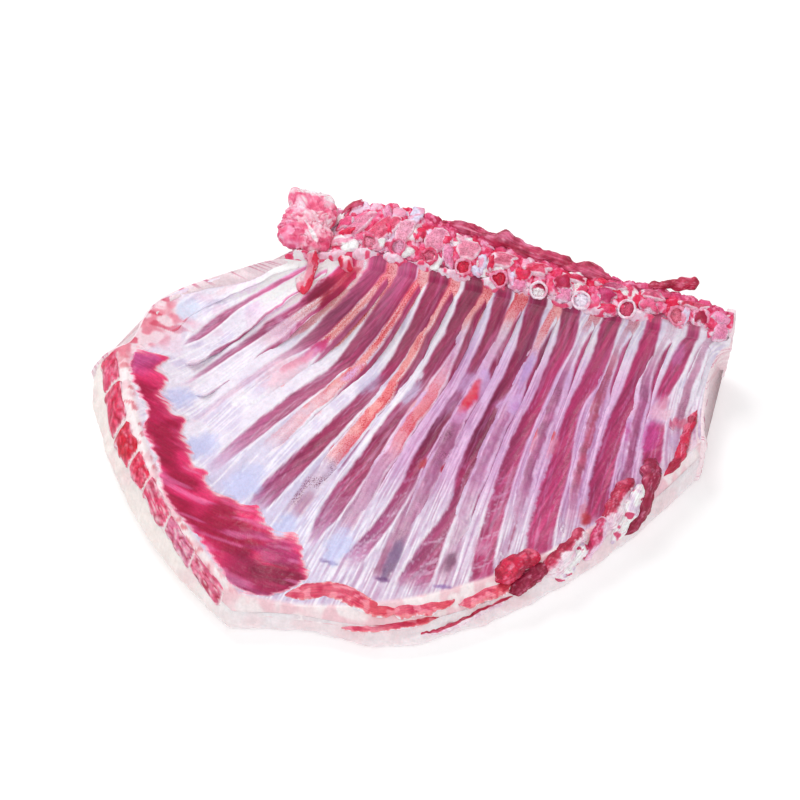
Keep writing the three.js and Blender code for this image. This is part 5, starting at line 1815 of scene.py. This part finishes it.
def paint_skirt(along, side, co):
    """Red above, with white fat along the lower and outer side."""
    fat = step(0.1, 0.4, side[:, 2] + 0.4 * lumpy(co, 7, 117))
    tone = lay(paint_plain_red(along, side, co), (246, 230, 236), 0.95 * fat)
    return lay(tone, (212, 176, 200), 0.4 * patches(co, 4, 0.5, 0.7, 118) * fat)


def paint_loin(along, side, co):
    tone = red_paint((190, 62, 92), (222, 130, 154), 121)(along, side, co)
    return lay(tone, (226, 140, 166), 0.5 * patches(co, (12, 4, 4), 0.55, 0.8, 124))


def paint_flank(along, side, co):
    """Spongy red muscle ends that turn orange and then white at the sides."""
    flat = co[:, :2]
    tone = lay((216, 96, 112), (202, 62, 90), patches(flat, (5, 4), 0.4, 0.65, 133))
    tone = lay(tone, ORANGE_RED, 0.5 * step(0.55, 0.8, along))
    tone = lay(tone, (246, 178, 182), 0.6 * patches(flat, (4, 3), 0.52, 0.7, 136))
    edge = np.abs(side[:, 0]) + 0.2 * lumpy(flat, 3, 135)
    tone = lay(tone, (238, 150, 146), 0.8 * step(0.66, 0.84, edge))
    return lay(tone, (242, 232, 238), step(0.86, 1.04, edge))


def paint_white(along, side, co):
    tone = lay((246, 236, 240), (206, 184, 210), 0.7 * patches(co, 4, 0.5, 0.75, 118))
    return lay(tone, (198, 50, 86), 0.8 * patches(co, (6, 4, 4), 0.66, 0.76, 117))


def paint_curl(along, side, co):
    tone = red_paint((206, 70, 108), (238, 180, 200), 128)(along, side, co)
    return lay(tone, (240, 206, 224), step(0.2, 0.7, side[:, 0] + 0.3 * lumpy(co[:, :2], 5, 129)))


def paint_neck_strip(along, side, co):
    """Pale fat with a bright red right edge."""
    flat = co[:, :2]
    tone = lay((250, 216, 220), (236, 140, 156), 0.8 * patches(flat, 5, 0.4, 0.7, 151))
    return lay(tone, (216, 40, 66), 0.9 * step(0.15, 0.5, side[:, 2] + 0.35 * lumpy(flat, 4, 152)))


# %% The loin muscle and the strips of flank and skirt
LOIN_STOPS = [[5.2, -48, -2], [6.2, -45, -1], [7.2, -41, -1], [8.4, -35, -1], [9.6, -29, -1], [10.6, -27, -3]]
LOIN_HALF = 6.5
loin_half = LOIN_HALF * blunt(np.linspace(0, 1, 150))
loin = make_bar("loin_muscle", smooth_path(LOIN_STOPS, 150), loin_half, 0.85, paint_loin, lumps=1.1)

FLANK, SKIRT, BRIGHTER, DARKER, WHITE, CURLED = (
    paint_flank, paint_skirt, paint_bright, paint_dark, paint_white, paint_curl)
EDGE_STRIPS = {   # stops of [rib place, distance past the rim, lift], half width, half height, painter, nodes
    "flank_1": ([[6.66, -9, 0], [7.03, -15, 0], [7.4, -15, 0], [7.85, -4, 0], [8.1, 2, 0], [8.5, 5, 0]],
                7.6, 2, FLANK, ["flank_muscle_1"]),
    "flank_2": ([[8.36, 5, 0], [8.65, 5, 0], [8.95, 6, 0], [9.34, 6, 0]],
                7.4, 2, FLANK, ["flank_muscle_2"]),
    "flank_3": ([[9.4, 10, 0], [9.65, 8, 0], [9.9, 8, 0], [10.2, 8, 0]], 7, 2, FLANK, []),
    "layer": ([[7.66, 10, 0], [8.15, 13, 0], [8.63, 14, 0], [9.15, 14, 0]], 3.2, 1.4, FLANK, ["flank_layer"]),
    "low_layer": ([[8.8, 22, 0], [9.33, 22, 0], [9.8, 18, 0], [10.3, 16, 0]], 2.6, 1.4, SKIRT, []),
    "bright_roll": ([[9.95, 3, 1], [10.25, -1, 3], [10.6, -2, 2]], 7, 5, BRIGHTER, ["skirt_1"]),
    "dark_roll": ([[10.2, 13, 0], [10.5, 11, 3], [10.78, 8, 1]], 6.5, 5, DARKER, []),
    "middle_roll": ([[10.74, 12, 1], [11, 8, 4], [11.2, 3, 4], [11.34, -4, 1]],
                    7, 5.5, SKIRT, ["skirt_2"]),
    "middle_fat": ([[10.95, 17, 0], [11.2, 13, 2], [11.42, 6, 2]], 6.5, 4.5, WHITE, []),
    "curl": ([[11.42, 16, 1], [11.6, 10, 4], [11.66, 2, 5], [11.52, -3, 3]], 5, 4.5, CURLED, []),
    "hind_roll": ([[11.72, 6, 1], [11.84, -5, 4], [12, -16, 4], [12.14, -25, 1]],
                  6.5, 5, SKIRT, ["skirt_3"]),
    "hind_fat": ([[11.9, 15, 0], [12.1, 9, 3], [12.26, 0, 3], [12.36, -8, 1]], 5.5, 4.5, WHITE, []),
    "maroon_roll": ([[12.1, 16, 0], [12.35, 10, 3], [12.5, -2, 4], [12.5, -16, 3], [12.56, -30, 1]],
                    6.5, 5, DARKER, []),
    "end_roll": ([[12.74, 0, 0], [12.96, -1, 2], [13.08, -10, 3], [13.18, -26, 2], [13.36, -42, 0]],
                 3.6, 3.2, BRIGHTER, ["skirt_4"]),
}
STRIP_POINTS = 110


def make_edge_strip(name):
    stops, wide, high, painter, nodes = EDGE_STRIPS[name]
    stops = [[place, float(length_at(place)) + past, lift] for place, past, lift in stops]
    line = smooth_path(stops, STRIP_POINTS)
    along = np.linspace(0, 1, STRIP_POINTS)
    half = wide * blunt(along) * (1 + 0.16 * rough(along * 4, wide, seed=125))
    lumps = 0.3 if painter is FLANK else 0.75
    return make_bar(name, line, half, high / wide, painter, lumps=lumps, nodes=nodes)


edge_strips = [make_edge_strip(name) for name in EDGE_STRIPS]

# %% [markdown]
# ## Neck meat
# At the front end of the ridge a flap of neck meat was left on, folded over in soft
# lobes with a pointed horn. A strip and a small nub hang from it over the first ribs.

# %% The flap of neck meat: lobes that grow out of one centre
NECK_CENTRE = (-100, 142, 79)
NECK_SQUASH = 0.62
NECK_LOBES = [   # x, y and z of the lobe's centre from the flap's centre, and its radius
    (-7, -12, 0, 15), (9, -14, 1, 14.5), (-8, 4, 3, 13), (8, 6, 2, 13), (1, 16, 0, 16.5), (0, -4, 6, 12),
]
LOBE_COLOURS = paint((234, 158, 184), (240, 176, 188), (238, 182, 198), (242, 200, 208),
                     (248, 222, 224), (242, 190, 200))
HORN_AT, HORN_SIZE, HORN_WIDTH = 2.2, 0.55, 0.26
TENDON_AT, TENDON_WIDTH = -0.75, 0.13


def make_neck_flap():
    ball, faces = unit_ball(6)
    reach = []
    for cx, cy, cz, radius in NECK_LOBES:
        toward = ball @ np.array([cx, cy, cz], float)
        reach.append(toward + np.sqrt(radius**2 - cx * cx - cy * cy - cz * cz + toward**2 + 0j).real)
    reach = np.stack(reach)
    ordered = np.sort(reach, 0)
    crease = step(2.2, 0, ordered[-1] - ordered[-2])
    blended = np.log(np.sum(np.exp(reach * 0.5), 0)) / 0.5
    angle = np.arctan2(ball[:, 1], ball[:, 0])
    turn = np.arctan2(np.sin(angle - HORN_AT), np.cos(angle - HORN_AT))
    flat = 1 - ball[:, 2] ** 2
    size = (blended - 0.8) * (1 + HORN_SIZE * np.exp(-((turn / HORN_WIDTH) ** 2)) * flat)
    smooth = ball * size[:, None]
    smooth[:, 2] *= NECK_SQUASH
    smooth = smooth + np.array(NECK_CENTRE)
    folds = step(0.16, 0, np.abs(lumpy(smooth, (10, 7, 8), 141)))
    push = 1.8 * lumpy(smooth, 9, 142) + 0.6 * lumpy(smooth, 2.5, 143) - 1.6 * folds
    points = smooth + ball * push[:, None]
    tone = lay(LOBE_COLOURS[reach.argmax(0)], (248, 220, 226), 0.6 * patches(smooth, 6, 0.5, 0.75, 144))
    tone = lay(tone, (222, 84, 120), 0.8 * patches(smooth, (9, 5, 6), 0.45, 0.75, 145))
    tone = lay(tone, (200, 52, 92), 0.7 * patches(smooth, 5, 0.58, 0.78, 146))
    # painted shade: darker red in the creases between the lobes and in the folds
    tone = lay(tone, (204, 70, 104), 0.6 * np.maximum(0.4 * crease, folds))
    x, y, z = smooth.T
    shreds = cloud((x + y) / 1.4, (x - y) / 5, z / 4, seed=148)
    tone = lay(tone, (206, 84, 124), 0.25 * step(0.55, 0.8, shreds))
    tone = lay(tone, (254, 232, 240), 0.25 * step(0.42, 0.22, shreds))
    tone = richer(tone, 0.1, 1.07)
    lean = np.arctan2(ball[:, 1] + 0.3, ball[:, 0] + 0.15)
    tendon = np.exp(-(((lean - TENDON_AT) / TENDON_WIDTH) ** 2)) * step(0.2, 0.5, ball[:, 2])
    tone = lay(tone, (250, 242, 246), 0.95 * step(0.4, 0.7, tendon))
    sliver = step(0.35, 0.15, np.abs(turn + 0.45)) * step(0.35, 0.1, ball[:, 2]) * step(16, 20, size)
    tone = lay(tone, (150, 70, 110), 0.9 * sliver)
    dots = (paint(214, 70, 100), 0.3 * patches(smooth[:, :2], 7, 0.4, 0.6, 147))
    return add_piece("flap_of_neck", points, tone, FAT, "neck_meat", ["neck_flap"],
                     triangles=faces, fleck=dots)


neck_flap = make_neck_flap()

# %% The strip, the nub and the strand
strip_line = smooth_path([[1.45, 0, 5], [1.75, 8, 6.5], [2.1, 16, 7], [2.3, 25, 6], [2.3, 33, 4]], 80)
strip_along = np.linspace(0, 1, 80)
strip_half = (5 + 4.5 * step(0.45, 0.95, strip_along)) * rounded(strip_along, 0.12, 0.05)
neck_strip = make_bar("neck_strip", strip_line, strip_half, 0.42, paint_neck_strip, FAT, "neck_meat",
                      lumps=0.9)

nub_line = smooth_path([[2.35, 1, 4], [2.7, 4, 4], [3.1, 9, 3]], 50)
nub_half = 4.2 * blunt(np.linspace(0, 1, 50))
neck_nub = make_bar("neck_nub", nub_line, nub_half, 1.0, paint_neck_strip, FAT, "neck_meat", lumps=0.8)

strand_line = smooth_path([[11.3, -27, 1], [11.9, -32, 2], [12.5, -37, 4]], 70)
strand_along = np.linspace(0, 1, 70)
strand_half = (3 + 2 * strand_along) * rounded(strand_along, 0.1, 0.05)
strand = make_bar("hind_strand", strand_line, strand_half, 0.95, paint_plain_red, lumps=0.8)
